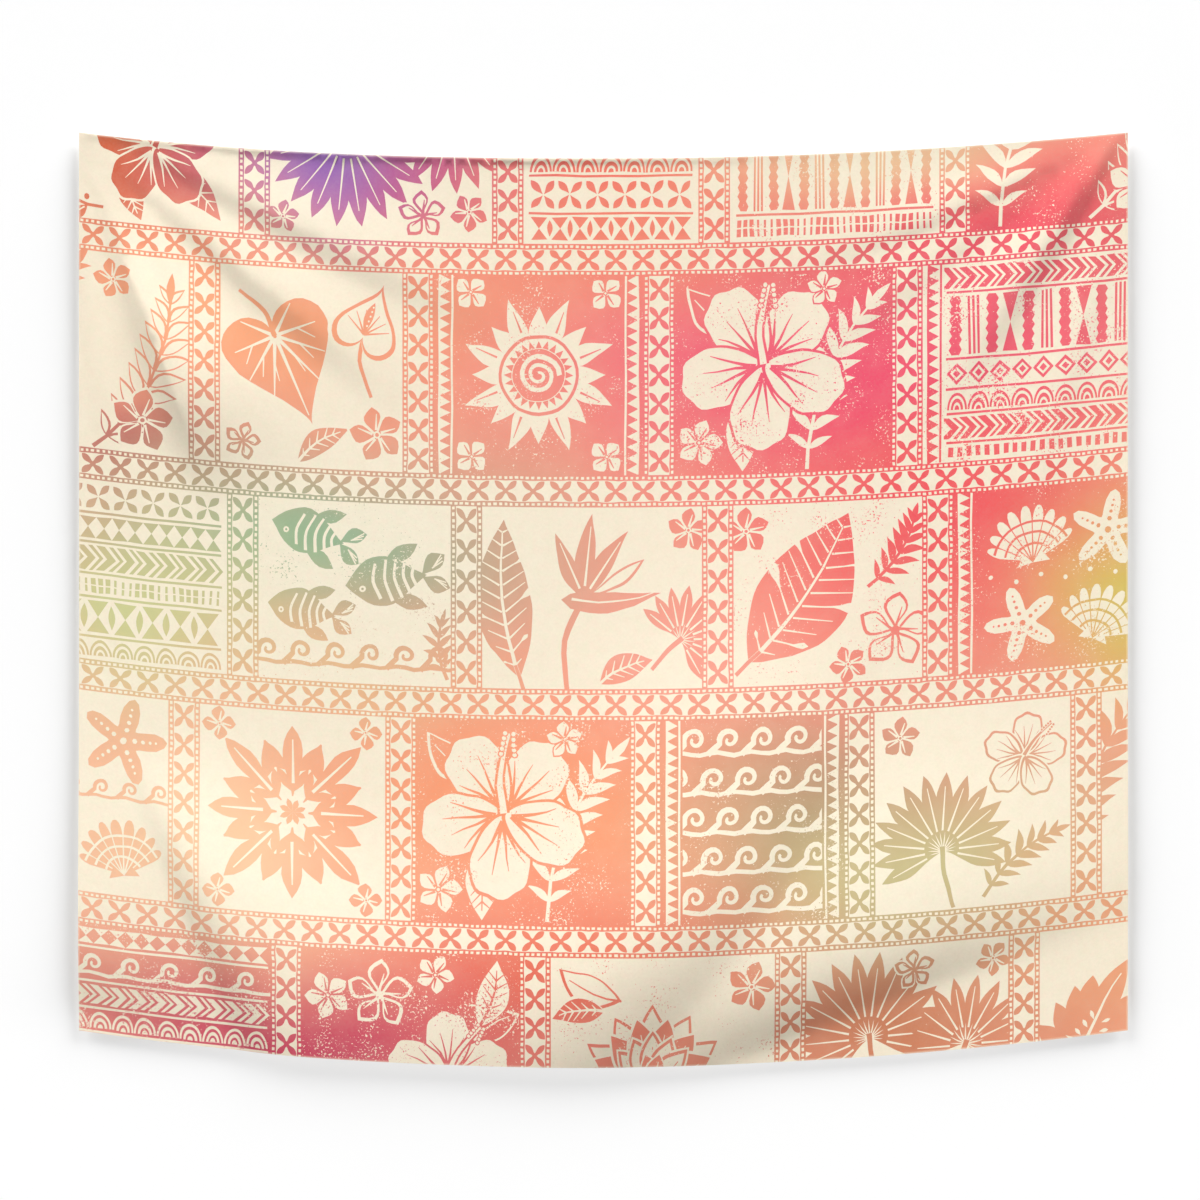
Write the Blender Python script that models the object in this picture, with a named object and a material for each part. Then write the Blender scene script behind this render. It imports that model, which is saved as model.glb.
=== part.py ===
"""Wall tapestry: one thin printed cloth, hung from its two upper corners.

Metres, +Z up. X runs to the right as the cloth is looked at, and its printed front faces -Y.
The origin is the middle of the upper edge, half way through the cloth.
"""
import math
from collections import namedtuple

import bmesh
import bpy

# The hung outline. The side edges hang straight; the upper and lower edges dip towards the middle.
HUNG_WIDTH = 1.516
MIDDLE_DROP = 1.312
UPPER_SAG = 0.0375
LOWER_BOW = 0.052

# How suddenly each half of an edge turns up towards its corner: 2 is a plain parabola.
UPPER_TURN_LEFT, UPPER_TURN_RIGHT = 2.5, 2.0
LOWER_TURN_LEFT, LOWER_TURN_RIGHT = 2.15, 1.92

THICKNESS = 0.0015

# The grid of the sheet, with closer rows and columns near the edges, where the folds are narrow.
COLUMNS, ROWS = 50, 46
COLUMN_CROWDING, ROW_CROWDING = 0.45, 0.30

# One row for each soft fold. It runs from start to end, measured across from the named side edge and
# down from the upper edge. `bend` bows the crest upwards, `lean` makes its lower side the narrower one,
# `full` is how round that side is (1 is straight, and above 1 it bellies out over a sharp foot),
# `forward` is how far the crest stands out, and `peak` is how far along it stands out most.
Fold = namedtuple(
    "Fold",
    "side across_start down_start across_end down_end bend width_start width_end lean full forward peak",
)
FOLDS = {
    "left_steep": Fold("left", 0.004, 0.000, 0.205, 0.530, -0.004, 0.020, 0.085, 0.50, 1.0, 0.0175, 0.60),
    "left_second": Fold("left", 0.020, 0.010, 0.320, 0.460, 0.000, 0.014, 0.048, 0.20, 1.8, 0.0012, 0.42),
    "left_diagonal": Fold("left", 0.010, 0.006, 0.520, 0.386, 0.000, 0.014, 0.070, 0.30, 1.3, 0.0056, 0.50),
    "left_shallow": Fold("left", 0.010, -0.024, 0.700, 0.272, 0.000, 0.016, 0.075, 0.30, 1.3, 0.0050, 0.46),
    "left_edge": Fold("left", 0.004, 0.040, 0.090, 0.620, -0.018, 0.012, 0.034, 0.10, 1.8, 0.0022, 0.48),
    "left_corner": Fold("left", -0.200, 1.130, 0.300, 1.210, 0.000, 0.170, 0.170, 0.40, 1.8, 0.0090, 0.45),
    "right_steep": Fold("right", 0.006, -0.010, 0.310, 0.430, 0.000, 0.018, 0.064, 0.30, 1.3, 0.0088, 0.32),
    "right_shallow": Fold("right", 0.010, -0.010, 0.580, 0.165, -0.020, 0.014, 0.044, 0.25, 1.8, 0.0026, 0.42),
    "right_middle": Fold("right", 0.050, 0.010, 0.560, 0.360, 0.006, 0.018, 0.050, 0.25, 1.8, 0.0016, 0.46),
    "right_edge": Fold("right", 0.008, 0.030, 0.175, 0.620, -0.010, 0.016, 0.046, 0.20, 1.8, 0.0030, 0.44),
    "lower_left": Fold("left", 0.090, 0.870, 0.480, 1.545, 0.000, 0.060, 0.210, 0.38, 2.4, 0.0200, 0.46),
    "lower_middle": Fold("left", 0.400, 1.440, 1.100, 0.500, -0.130, 0.170, 0.170, 0.20, 2.0, 0.0240, 0.45),
    "lower_right": Fold("right", 0.950, 1.360, -0.150, 0.990, 0.042, 0.150, 0.150, 0.27, 2.2, 0.0195, 0.42),
}
FOLD_SOFTNESS = 2.0
FOOT_SOFTNESS = 0.30

# The slightly rolled upper edge: strongest left of the middle, fading to both sides.
ROLL_FORWARD, ROLL_DOWN, ROLL_WIDTH = 0.0022, 0.004, 0.016
ROLL_MIDDLE, ROLL_REACH = 0.34, 0.30

GROUND_COLOUR = (0.93, 0.74, 0.58, 1.0)


def bell(value, middle, width):
    """A soft hump: 1 at the middle, fading to nothing about two widths away."""
    return math.exp(-(((value - middle) / width) ** 2))


def belly(value, reach, full):
    """The lower face of a fold: 1 at the crest, falling to a soft foot one reach away."""
    fall = 1 - abs(value / reach) ** full
    softened = fall + math.sqrt(fall**2 + FOOT_SOFTNESS**2)
    return softened / (1 + math.sqrt(1 + FOOT_SOFTNESS**2))


def edge_rise(share, rise, turn_left, turn_right):
    """How far an edge stands above its middle, at a share of the width from the left."""
    outward = abs(2 * share - 1)
    turn = turn_left if share < 0.5 else turn_right
    return rise * outward**turn


def fold_height(fold, across, down):
    """How far one fold lifts the cloth forward at a place on it."""
    if fold.side == "right":
        across = HUNG_WIDTH - across
    run_across = fold.across_end - fold.across_start
    run_down = fold.down_end - fold.down_start
    length = math.hypot(run_across, run_down)
    run_across /= length
    run_down /= length
    from_start_across = across - fold.across_start
    from_start_down = down - fold.down_start
    along = (from_start_across * run_across + from_start_down * run_down) / length
    if not 0 < along < 1:
        return 0.0
    above = from_start_across * run_down - from_start_down * run_across
    if run_across < 0:
        above = -above
    above -= fold.bend * 4 * along * (1 - along)
    width = fold.width_start + (fold.width_end - fold.width_start) * along
    shift = math.log(0.5) / math.log(fold.peak)
    strength = math.sin(math.pi * along**shift) ** FOLD_SOFTNESS
    if above > 0:
        return fold.forward * strength * bell(above, 0, width * (1 + fold.lean))
    return fold.forward * strength * belly(above, width * (1 - fold.lean), fold.full)


def forward(across, down):
    """How far the cloth stands forward of the upright plane that it hangs in."""
    share = across / HUNG_WIDTH
    height = sum(fold_height(fold, across, down) for fold in FOLDS.values())
    return height + ROLL_FORWARD * bell(down, ROLL_DOWN, ROLL_WIDTH) * bell(share, ROLL_MIDDLE, ROLL_REACH)


FORWARD_AT_ORIGIN = forward(HUNG_WIDTH / 2, 0)


def hung_point(share_across, share_down):
    """The place of a point of the cloth, given as shares of its width and its length."""
    upper = edge_rise(share_across, UPPER_SAG, UPPER_TURN_LEFT, UPPER_TURN_RIGHT)
    lower = edge_rise(share_across, LOWER_BOW, LOWER_TURN_LEFT, LOWER_TURN_RIGHT) - MIDDLE_DROP
    across = share_across * HUNG_WIDTH
    down = share_down * (upper - lower)
    lift = forward(across, down) - FORWARD_AT_ORIGIN
    return (across - HUNG_WIDTH / 2, -lift, upper - down)


def crowded_places(count, crowding):
    """Places from 0 to 1 that lie closer together near both ends."""
    places = []
    for step in range(count + 1):
        even = step / count
        places.append(even - crowding * math.sin(2 * math.pi * even) / (2 * math.pi))
    return places


def cloth_material():
    material = bpy.data.materials.new("printed_cloth")
    material.use_nodes = True
    shader = material.node_tree.nodes["Principled BSDF"]
    shader.inputs["Base Color"].default_value = GROUND_COLOUR
    shader.inputs["Roughness"].default_value = 0.85
    shader.inputs["Metallic"].default_value = 0.0
    return material


def make_cloth():
    """The middle surface as a triangulated grid, which Solidify turns into the thin closed sheet."""
    across_places = crowded_places(COLUMNS, COLUMN_CROWDING)
    down_places = crowded_places(ROWS, ROW_CROWDING)
    sheet = bmesh.new()
    grid = [[sheet.verts.new(hung_point(s, t)) for s in across_places] for t in down_places]
    for row in range(ROWS):
        for column in range(COLUMNS):
            sheet.faces.new(
                (
                    grid[row][column],
                    grid[row + 1][column],
                    grid[row + 1][column + 1],
                    grid[row][column + 1],
                )
            )
    bmesh.ops.triangulate(sheet, faces=sheet.faces[:], quad_method="SHORT_EDGE")
    mesh = bpy.data.meshes.new("tapestry_cloth")
    sheet.to_mesh(mesh)
    sheet.free()
    mesh.shade_smooth()
    mesh.materials.append(cloth_material())
    cloth = bpy.data.objects.new("tapestry_cloth", mesh)
    bpy.context.scene.collection.objects.link(cloth)
    solidify = cloth.modifiers.new("thickness", "SOLIDIFY")
    solidify.thickness = THICKNESS
    solidify.offset = 0.0
    solidify.use_even_offset = True
    return cloth


for old in list(bpy.data.objects):
    bpy.data.objects.remove(old, do_unlink=True)
make_cloth()
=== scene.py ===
"""Wall tapestry: one thin printed cloth, hung from its two upper corners."""
import cmath
import math
from collections import namedtuple

import bpy
import numpy as np
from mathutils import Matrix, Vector
from mathutils.geometry import delaunay_2d_cdt


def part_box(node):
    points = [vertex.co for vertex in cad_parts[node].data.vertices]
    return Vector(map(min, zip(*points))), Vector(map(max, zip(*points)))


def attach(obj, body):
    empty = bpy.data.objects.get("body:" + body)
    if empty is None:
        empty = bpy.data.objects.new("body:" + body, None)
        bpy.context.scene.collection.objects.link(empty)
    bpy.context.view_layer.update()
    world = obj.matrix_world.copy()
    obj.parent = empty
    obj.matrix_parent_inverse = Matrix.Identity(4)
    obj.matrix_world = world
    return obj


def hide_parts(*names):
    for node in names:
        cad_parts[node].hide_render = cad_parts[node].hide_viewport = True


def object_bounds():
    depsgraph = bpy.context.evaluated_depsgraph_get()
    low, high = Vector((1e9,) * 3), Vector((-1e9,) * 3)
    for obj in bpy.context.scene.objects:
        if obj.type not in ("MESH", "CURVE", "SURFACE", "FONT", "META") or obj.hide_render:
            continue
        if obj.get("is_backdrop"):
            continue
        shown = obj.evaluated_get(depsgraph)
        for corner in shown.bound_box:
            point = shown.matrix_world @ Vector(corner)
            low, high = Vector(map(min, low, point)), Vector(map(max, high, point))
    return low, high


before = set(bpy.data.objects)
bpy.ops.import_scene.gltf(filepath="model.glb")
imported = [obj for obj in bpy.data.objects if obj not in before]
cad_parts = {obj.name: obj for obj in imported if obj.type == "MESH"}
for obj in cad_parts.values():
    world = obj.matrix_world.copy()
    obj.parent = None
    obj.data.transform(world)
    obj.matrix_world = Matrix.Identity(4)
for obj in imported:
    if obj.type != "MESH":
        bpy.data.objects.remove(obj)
cad_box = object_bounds()

# ---------------------------------------------------------------------------------------------------
# The camera. A long lens, square on to the cloth and a little below its middle, from so far off that the
# cloth fills most of the frame.
# ---------------------------------------------------------------------------------------------------
CAMERA_LENS = 100.0
FRAME_WIDTH = 1.734
CAMERA_LEFT = 0.005
CAMERA_BELOW_MOUNT = 0.638

camera_data = bpy.data.cameras.new("camera")
camera_data.lens = CAMERA_LENS
camera = bpy.data.objects.new("camera", camera_data)
bpy.context.scene.collection.objects.link(camera)
camera_distance = FRAME_WIDTH * CAMERA_LENS / camera_data.sensor_width
camera.location = (-CAMERA_LEFT, -camera_distance, -CAMERA_BELOW_MOUNT)
camera.rotation_euler = (math.radians(90), 0, 0)
bpy.context.scene.camera = camera

# ---------------------------------------------------------------------------------------------------
# The cloth. One piece of thin woven polyester, cut 60 x 51 in and pinned up by its two upper corners,
# so that it sags between them and soft folds fan out from each pin and swell across the lower part.
# ---------------------------------------------------------------------------------------------------
CUT_WIDTH, CUT_LENGTH = 1.524, 1.295
CLOTH_THICKNESS = 0.0011

HUNG_WIDTH = 1.516
MIDDLE_DROP = 1.312
UPPER_SAG = 0.0375
LOWER_BOW = 0.052
UPPER_TURN_LEFT, UPPER_TURN_RIGHT = 2.5, 2.0
LOWER_TURN_LEFT, LOWER_TURN_RIGHT = 2.15, 1.92

# One row for each soft fold: from start to end, across from the named side edge and down from the upper
# edge. `bend` bows the crest upwards, `lean` makes its lower side the narrower one, `full` is how round
# that side is (above 1 it bellies out over a sharp foot), `forward` is how far the crest stands out, and
# `peak` is how far along it stands out most.
Fold = namedtuple(
    "Fold",
    "side across_start down_start across_end down_end bend width_start width_end lean full forward peak",
)
FOLDS = {
    "left_steep": Fold("left", 0.004, 0.000, 0.205, 0.530, -0.004, 0.020, 0.085, 0.50, 1.0, 0.0175, 0.60),
    "left_second": Fold("left", 0.020, 0.010, 0.320, 0.460, 0.000, 0.014, 0.048, 0.20, 1.8, 0.0012, 0.42),
    "left_diagonal": Fold("left", 0.010, 0.006, 0.520, 0.386, 0.000, 0.014, 0.070, 0.30, 1.3, 0.0056, 0.50),
    "left_shallow": Fold("left", 0.010, -0.024, 0.700, 0.272, 0.000, 0.016, 0.075, 0.30, 1.3, 0.0050, 0.46),
    "left_edge": Fold("left", 0.004, 0.040, 0.090, 0.620, -0.018, 0.012, 0.034, 0.10, 1.8, 0.0022, 0.48),
    "left_corner": Fold("left", -0.200, 1.130, 0.300, 1.210, 0.000, 0.170, 0.170, 0.40, 1.8, 0.0090, 0.45),
    "right_steep": Fold("right", 0.006, -0.010, 0.310, 0.430, 0.000, 0.018, 0.064, 0.30, 1.3, 0.0088, 0.32),
    "right_shallow": Fold("right", 0.010, -0.010, 0.580, 0.165, -0.020, 0.014, 0.044, 0.25, 1.8, 0.0026, 0.42),
    "right_middle": Fold("right", 0.050, 0.010, 0.560, 0.360, 0.006, 0.018, 0.050, 0.25, 1.8, 0.0016, 0.46),
    "right_edge": Fold("right", 0.008, 0.030, 0.175, 0.620, -0.010, 0.016, 0.046, 0.20, 1.8, 0.0030, 0.44),
    "lower_left": Fold("left", 0.090, 0.870, 0.480, 1.545, 0.000, 0.060, 0.210, 0.38, 2.4, 0.0200, 0.46),
    "lower_middle": Fold("left", 0.400, 1.440, 1.100, 0.500, -0.130, 0.170, 0.170, 0.20, 2.0, 0.0240, 0.45),
    "lower_right": Fold("right", 0.950, 1.360, -0.150, 0.990, 0.042, 0.150, 0.150, 0.27, 2.2, 0.0195, 0.42),
}
FOLD_SOFTNESS = 2.0
FOOT_SOFTNESS = 0.30
ROLL_FORWARD, ROLL_DOWN, ROLL_WIDTH = 0.0024, 0.0015, 0.0065
ROLL_MIDDLE, ROLL_REACH = 0.34, 0.30


def bell(value, middle, width):
    """A soft hump: 1 at the middle, fading to nothing about two widths away."""
    return np.exp(-(((value - middle) / width) ** 2))


def belly(value, reach, full):
    """The lower face of a fold: 1 at the crest, falling to a soft foot one reach away."""
    fall = 1 - np.abs(value / reach) ** full
    softened = fall + np.sqrt(fall**2 + FOOT_SOFTNESS**2)
    return softened / (1 + math.sqrt(1 + FOOT_SOFTNESS**2))


def hump_power(peak):
    """The power that moves the top of a half sine wave from the middle of its length to `peak`."""
    return math.log(0.5) / math.log(peak)


def edge_rise(share, rise, turn_left, turn_right):
    """How far an edge stands above its middle, at a share of the width from the left."""
    turn = np.where(share < 0.5, turn_left, turn_right)
    return rise * np.abs(2 * share - 1) ** turn


def fold_height(fold, across, down):
    """How far one fold lifts the cloth forward."""
    if fold.side == "right":
        across = HUNG_WIDTH - across
    run = complex(fold.across_end - fold.across_start, fold.down_end - fold.down_start)
    length = abs(run)
    run /= length
    from_start_across = across - fold.across_start
    from_start_down = down - fold.down_start
    along = (from_start_across * run.real + from_start_down * run.imag) / length
    along = np.clip(along, 0, 1)
    above = from_start_across * run.imag - from_start_down * run.real
    if run.real < 0:
        above = -above
    above = above - fold.bend * 4 * along * (1 - along)
    width = fold.width_start + (fold.width_end - fold.width_start) * along
    upper_face = bell(above, 0, width * (1 + fold.lean))
    lower_face = belly(above, width * (1 - fold.lean), fold.full)
    strength = np.sin(math.pi * along ** hump_power(fold.peak)) ** FOLD_SOFTNESS
    return fold.forward * strength * np.where(above > 0, upper_face, lower_face)


def forward(across, down):
    """How far the cloth stands forward of the upright plane that it hangs in."""
    share = across / HUNG_WIDTH
    height = sum(fold_height(fold, across, down) for fold in FOLDS.values())
    return height + ROLL_FORWARD * bell(down, ROLL_DOWN, ROLL_WIDTH) * bell(share, ROLL_MIDDLE, ROLL_REACH)


def hung_points(share_across, share_down):
    """Where points of the cloth hang, given as shares of its width and its length."""
    upper = edge_rise(share_across, UPPER_SAG, UPPER_TURN_LEFT, UPPER_TURN_RIGHT)
    lower = edge_rise(share_across, LOWER_BOW, LOWER_TURN_LEFT, LOWER_TURN_RIGHT) - MIDDLE_DROP
    across = share_across * HUNG_WIDTH
    down = share_down * (upper - lower)
    at_mount = forward(np.array([HUNG_WIDTH / 2]), np.array([0.0]))[0]
    lift = forward(across, down) - at_mount
    return np.stack([across - HUNG_WIDTH / 2, -lift, upper - down], axis=-1)


# The print is drawn flat, on complex numbers: the real part runs right from the cloth's upper left
# corner and the imaginary part runs up, in metres. A shape is a closed outline, and each shape stamps
# ink or bare cloth over what is already there, within the box of its panel.
Stamp = namedtuple("Stamp", "outline inked box")
stamps = []
WOBBLES = ((31.0 + 12.0j, 0.00050), (-17.0 + 38.0j, 0.00045), (52.0 - 29.0j, 0.00025))
STALK_STEPS = 5
DISC_EDGE, BLADE_STEP = 0.0012, 0.006
LEAF_BELLY = 0.46


def hand_cut(outline):
    """An outline with the slight unevenness of a block that was cut by hand."""
    wobble = 0
    for wave, reach in WOBBLES:
        phase = outline.real * wave.real + outline.imag * wave.imag
        wobble = wobble + reach * (np.sin(phase * math.pi) + 1j * np.cos(1.3 * phase * math.pi + 1.0))
    return outline + wobble


class Panel:
    """One block of the patchwork. A reversed panel has an inked ground and bare figures."""

    def __init__(self, left, top, right, bottom, reversed_ink=False):
        self.box = (left, -bottom, right, -top)
        self.middle = complex((left + right) / 2, -(top + bottom) / 2)
        self.half_width = (right - left) / 2
        self.half_height = (bottom - top) / 2
        self.reversed_ink = reversed_ink
        ground = np.array(rectangle(self.middle, right - left, bottom - top))
        stamps.append(Stamp(ground, reversed_ink, self.box))

    def stamp(self, outline, inked=True):
        """One closed figure, in ink or bare."""
        outline = hand_cut(np.array(outline) + self.middle)
        stamps.append(Stamp(outline, inked != self.reversed_ink, self.box))

    def brush(self, points, width, end_width=None, inked=True):
        """A line along some points, in ink or bare."""
        self.stamp(line(points, width, end_width), inked)

    def crease(self, start, end, width, end_width=None):
        """A straight bare line, as is cut into a petal or a leaf."""
        self.brush([start, end], width, end_width, False)

    def stalk(self, points, width, end_width):
        """A smooth inked line through a few points."""
        self.brush(smooth(points, STALK_STEPS), width, end_width)


def turn(degrees):
    """A step of length 1 in a direction, in degrees from the right."""
    return cmath.rect(1, math.radians(degrees))


def rectangle(middle, width, height):
    """The four corners of a level rectangle."""
    corner = complex(width / 2, height / 2)
    return [middle - corner, middle + corner.conjugate(), middle + corner, middle - corner.conjugate()]


def disc(middle, radius, sides=None):
    """A round dot, with more sides the larger it is."""
    if sides is None:
        sides = min(max(round(7 + radius / DISC_EDGE), 8), 36)
    return [middle + radius * turn(360 * k / sides) for k in range(sides)]


def smooth(points, steps=4):
    """A smooth line through a few points."""
    last = len(points) - 1
    result = []
    for k in range(last):
        a, b, c, d = (points[min(max(k + j, 0), last)] for j in (-1, 0, 1, 2))
        for step in range(steps):
            f = step / steps
            bend = 2 * a - 5 * b + 4 * c - d
            result.append(b + f * (c - a) / 2 + f**2 * bend / 2 + f**3 * (3 * b - a - 3 * c + d) / 2)
    return result + [points[-1]]


def half_width(width, share, belly):
    """Half the width of a blade at a share of its length, where the blade is widest at `belly`."""
    return width / 2 * math.sin(math.pi * share ** hump_power(belly))


def blade(base, tip, width, belly=0.5, bow=0.0, steps=None):
    """A leaf or a petal: pointed at both ends, widest at `belly`, and bowed to its left."""
    along = tip - base
    if steps is None:
        steps = min(max(round(abs(along) / BLADE_STEP), 6), 18)
    left_hand = 1j * along / abs(along)
    left, right = [], []
    for step in range(steps + 1):
        f = step / steps
        middle = base + along * f + left_hand * bow * 4 * f * (1 - f) * abs(along)
        half = left_hand * half_width(width, f, belly)
        left.append(middle + half)
        right.append(middle - half)
    return left + right[-2:0:-1]


def line(points, width, end_width=None):
    """A brushed line along some points, whose width runs from `width` to `end_width`."""
    if end_width is None:
        end_width = width
    left, right = [], []
    last = len(points) - 1
    for k, point in enumerate(points):
        heading = points[min(k + 1, last)] - points[max(k - 1, 0)]
        half = 0.5j * heading / abs(heading) * (width + (end_width - width) * k / last)
        left.append(point + half)
        right.append(point - half)
    return left + right[::-1]


def arc(middle, radius, start, end, steps=8, end_radius=None):
    """Points on an arc or, with another end radius, on a spiral."""
    if end_radius is None:
        end_radius = radius
    points = []
    for step in range(steps + 1):
        f = step / steps
        points.append(middle + (radius + (end_radius - radius) * f) * turn(start + (end - start) * f))
    return points


def hollow_blade(panel, base, tip, width, rim, belly=0.5, bow=0.0, steps=None):
    """A leaf or petal drawn as an outline only."""
    step_in = (tip - base) / abs(tip - base) * rim * 1.7
    panel.stamp(blade(base, tip, width, belly, bow, steps))
    panel.stamp(blade(base + step_in, tip - step_in, width - 2 * rim, belly, bow, steps), False)


def bowed_path(base, tip, bow, steps):
    """Points along a line from base to tip that is bowed to its left."""
    along = tip - base
    path = []
    for k in range(steps + 1):
        f = k / steps
        path.append(base + along * f + 1j * along * bow * 4 * f * (1 - f))
    return path


def heading_at(path, k):
    """The direction of a path at its point k."""
    heading = path[k + 1] - path[k - 1]
    return heading / abs(heading)


def star_blossom(panel, at, radius, petals=5, lean=0.0, outline=False):
    """A flower of broad waxy petals, each turned a little and creased, on a bare halo."""
    for k in range(petals):
        out = turn(lean + 360 * k / petals) * radius
        width = 3.2 * radius / petals
        panel.stamp(blade(at, at + 1.10 * out, width * 1.22, 0.60, 0.07), False)
        if outline:
            hollow_blade(panel, at, at + out, width, 0.0036, 0.62, 0.07)
            panel.brush([at + 0.12 * out, at + (0.60 - 0.10j) * out], 0.0042, 0.0012)
        else:
            panel.stamp(blade(at, at + out, width, 0.62, 0.07))
            panel.crease(at + 0.16 * out, at + (0.72 - 0.12j) * out, 0.0036, 0.0012)
    if outline:
        panel.stamp(disc(at, 0.12 * radius))
    else:
        panel.stamp(disc(at, 0.13 * radius), False)
        panel.stamp(disc(at, 0.07 * radius))


def ruffled_petal(steps=44):
    """The outline of a broad petal from 0 to about 1, its outer edge gently ruffled."""
    outline = []
    for k in range(steps):
        angle = 2 * math.pi * k / steps
        outward = (1 + math.cos(angle)) / 2
        ruffle = 1 + 0.040 * outward * math.sin(8 * angle + 0.6)
        half = 0.43 * math.sin(angle) * (0.40 + 0.60 * outward**0.55)
        outline.append(complex(0.52 + 0.49 * math.cos(angle) * ruffle, half * ruffle))
    return outline


def ruffled_blossom(panel, at, radius, lean=0.0, outline=False):
    """An open flower of five broad ruffled petals around a long pistil."""
    petal = ruffled_petal()
    for k in range(5):
        out = turn(lean + 72 * k) * radius
        for scale, inked in ((1.09, False), (1.0, True), (0.87, False))[: 3 if outline else 2]:
            panel.stamp([at + (0.56 + (p - 0.56) * scale) * out for p in petal], inked)
        for side, reach in ((-0.20, 0.60), (-0.07, 0.74), (0.08, 0.68), (0.22, 0.56)):
            vein = [at + 0.10 * out, at + (0.35 + side * 0.6j) * out, at + (reach + side * 1.35j) * out]
            panel.brush(smooth(vein, 2), 0.055 * radius, 0.008 * radius, outline)
    away = turn(lean + 36) * radius
    rod = smooth([at, at + (0.45 + 0.08j) * away, at + 0.95 * away])
    panel.brush(rod, 0.15 * radius, 0.09 * radius, False)
    panel.brush(rod, 0.085 * radius, 0.035 * radius)
    for k in range(5):
        for side in (1, -1):
            bud = at + (0.70 + 0.062 * k + 0.085j * side * (1 - 0.10 * k)) * away
            panel.stamp(disc(bud, 0.044 * radius, 8), False)
            panel.stamp(disc(bud, 0.028 * radius, 7))


def veined_leaf(panel, base, tip, width, bow=0.0, veins=5):
    """A plain pointed leaf with a bare rib and side veins, on a bare halo."""
    along = tip - base
    panel.stamp(blade(base - 0.02 * along, tip + 0.05 * along, width * 1.20, LEAF_BELLY, bow), False)
    panel.stamp(blade(base, tip, width, LEAF_BELLY, bow))
    rib = bowed_path(base, tip, bow, veins + 2)
    for k in range(1, veins + 1):
        heading = rib[k + 1] - rib[k]
        heading /= abs(heading)
        half = half_width(width, k / (veins + 2), LEAF_BELLY)
        for side in (1, -1):
            panel.crease(rib[k], rib[k] + half * 1.05 * heading * turn(side * 48), 0.0026, 0.0010)
    panel.brush(rib[:-1], 0.0044, 0.0016, False)


def hollow_leaf(panel, base, tip, width, bow=0.0):
    """A leaf drawn in outline, with a rib."""
    hollow_blade(panel, base, tip, width, 0.0034, LEAF_BELLY, bow)
    panel.brush(bowed_path(base, tip, bow, 5)[:-1], 0.0034, 0.0014)


def fern(panel, base, tip, bow, pairs, length, outline=False):
    """A frond with leaflets in pairs along a bowed rib."""
    rib = bowed_path(base, tip, bow, pairs + 1)
    for k in range(1, pairs + 1):
        heading = heading_at(rib, k)
        share = k / (pairs + 1)
        reach = length * (0.30 + 0.70 * math.sin(math.pi * (share * 0.85 + 0.10)))
        for side in (1, -1):
            end = rib[k] + reach * heading * turn(side * (62 - 30 * share))
            if outline:
                hollow_blade(panel, rib[k], end, reach * 0.36, 0.0028, 0.45, -0.08 * side, 6)
            else:
                panel.stamp(blade(rib[k], end, reach * 0.29, 0.42, -0.08 * side, 6))
    end = tip + (tip - rib[-2]) * 0.8
    panel.stamp(blade(rib[-2], end, length * 0.22, 0.5, 0, 5))
    panel.brush(rib, 0.0054, 0.0028)


def banana_leaf(panel, base, tip, width, bow, splits=4):
    """A broad leaf with a bare rib, fine side veins and splits torn in from the edge."""
    panel.stamp(blade(base, tip, width, LEAF_BELLY, bow, 24))
    rib = bowed_path(base, tip, bow, 12)
    for k in range(1, 12):
        heading = heading_at(rib, k)
        half = half_width(width, k / 12, LEAF_BELLY)
        for side in (1, -1):
            out = heading * turn(side * 58)
            reach = half / math.sin(math.radians(58)) * 0.86
            panel.crease(rib[k] + 0.08 * reach * out, rib[k] + reach * out, 0.0030, 0.0012)
            if k % 3 == (1 if side > 0 else 2) and k // 3 < splits:
                mouth = rib[k] + 1.40 * reach * out
                panel.stamp(blade(rib[k] + 0.34 * reach * out, mouth, 0.24 * reach, 0.80, 0, 6), False)
    panel.brush(rib[:-1], 0.0064, 0.0020, False)
    panel.brush([base - (rib[1] - base) * 1.2, base, rib[1]], 0.0064, 0.0050)


def split_leaf(panel, at, size, facing, lobes=5):
    """A broad leaf cut deep between its lobes, with a bare rib and a few holes."""
    out = turn(facing) * size
    foot = at - 0.52 * out
    for k in range(lobes):
        share = k / (lobes - 1)
        root = foot + (0.10 + 0.55 * share) * out
        for side in (1, -1):
            reach = 0.86 - 0.26 * share
            end = root + reach * out * turn(side * (112 - 74 * share))
            panel.stamp(blade(root - 0.10 * out, end, 0.31 * size, 0.60, 0.13 * side, 14))
    panel.stamp(blade(foot + 0.2 * out, foot + 1.52 * out, 0.40 * size, 0.55, 0.02, 14))
    panel.stamp(blade(foot - 0.05 * out, foot + 1.15 * out, 0.56 * size, 0.40, 0, 14))
    for k in range(1, lobes):
        share = k / lobes
        for side in (1, -1):
            hole = foot + (0.02 + 0.66 * share + side * 0.17j * (1.15 - share)) * out
            hole_end = hole + 0.15 * out * turn(side * (86 - 50 * share))
            panel.stamp(blade(hole, hole_end, 0.06 * size, 0.6, 0, 4), False)
    rib = bowed_path(foot, foot + 1.30 * out, 0.03, 6)
    panel.brush(rib, 0.0056, 0.0016, False)
    stalk = [foot + 0.03 * out, foot - 0.22 * out, foot - 0.46 * out * turn(-14)]
    panel.stalk(stalk, 0.0074, 0.0056)


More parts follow.
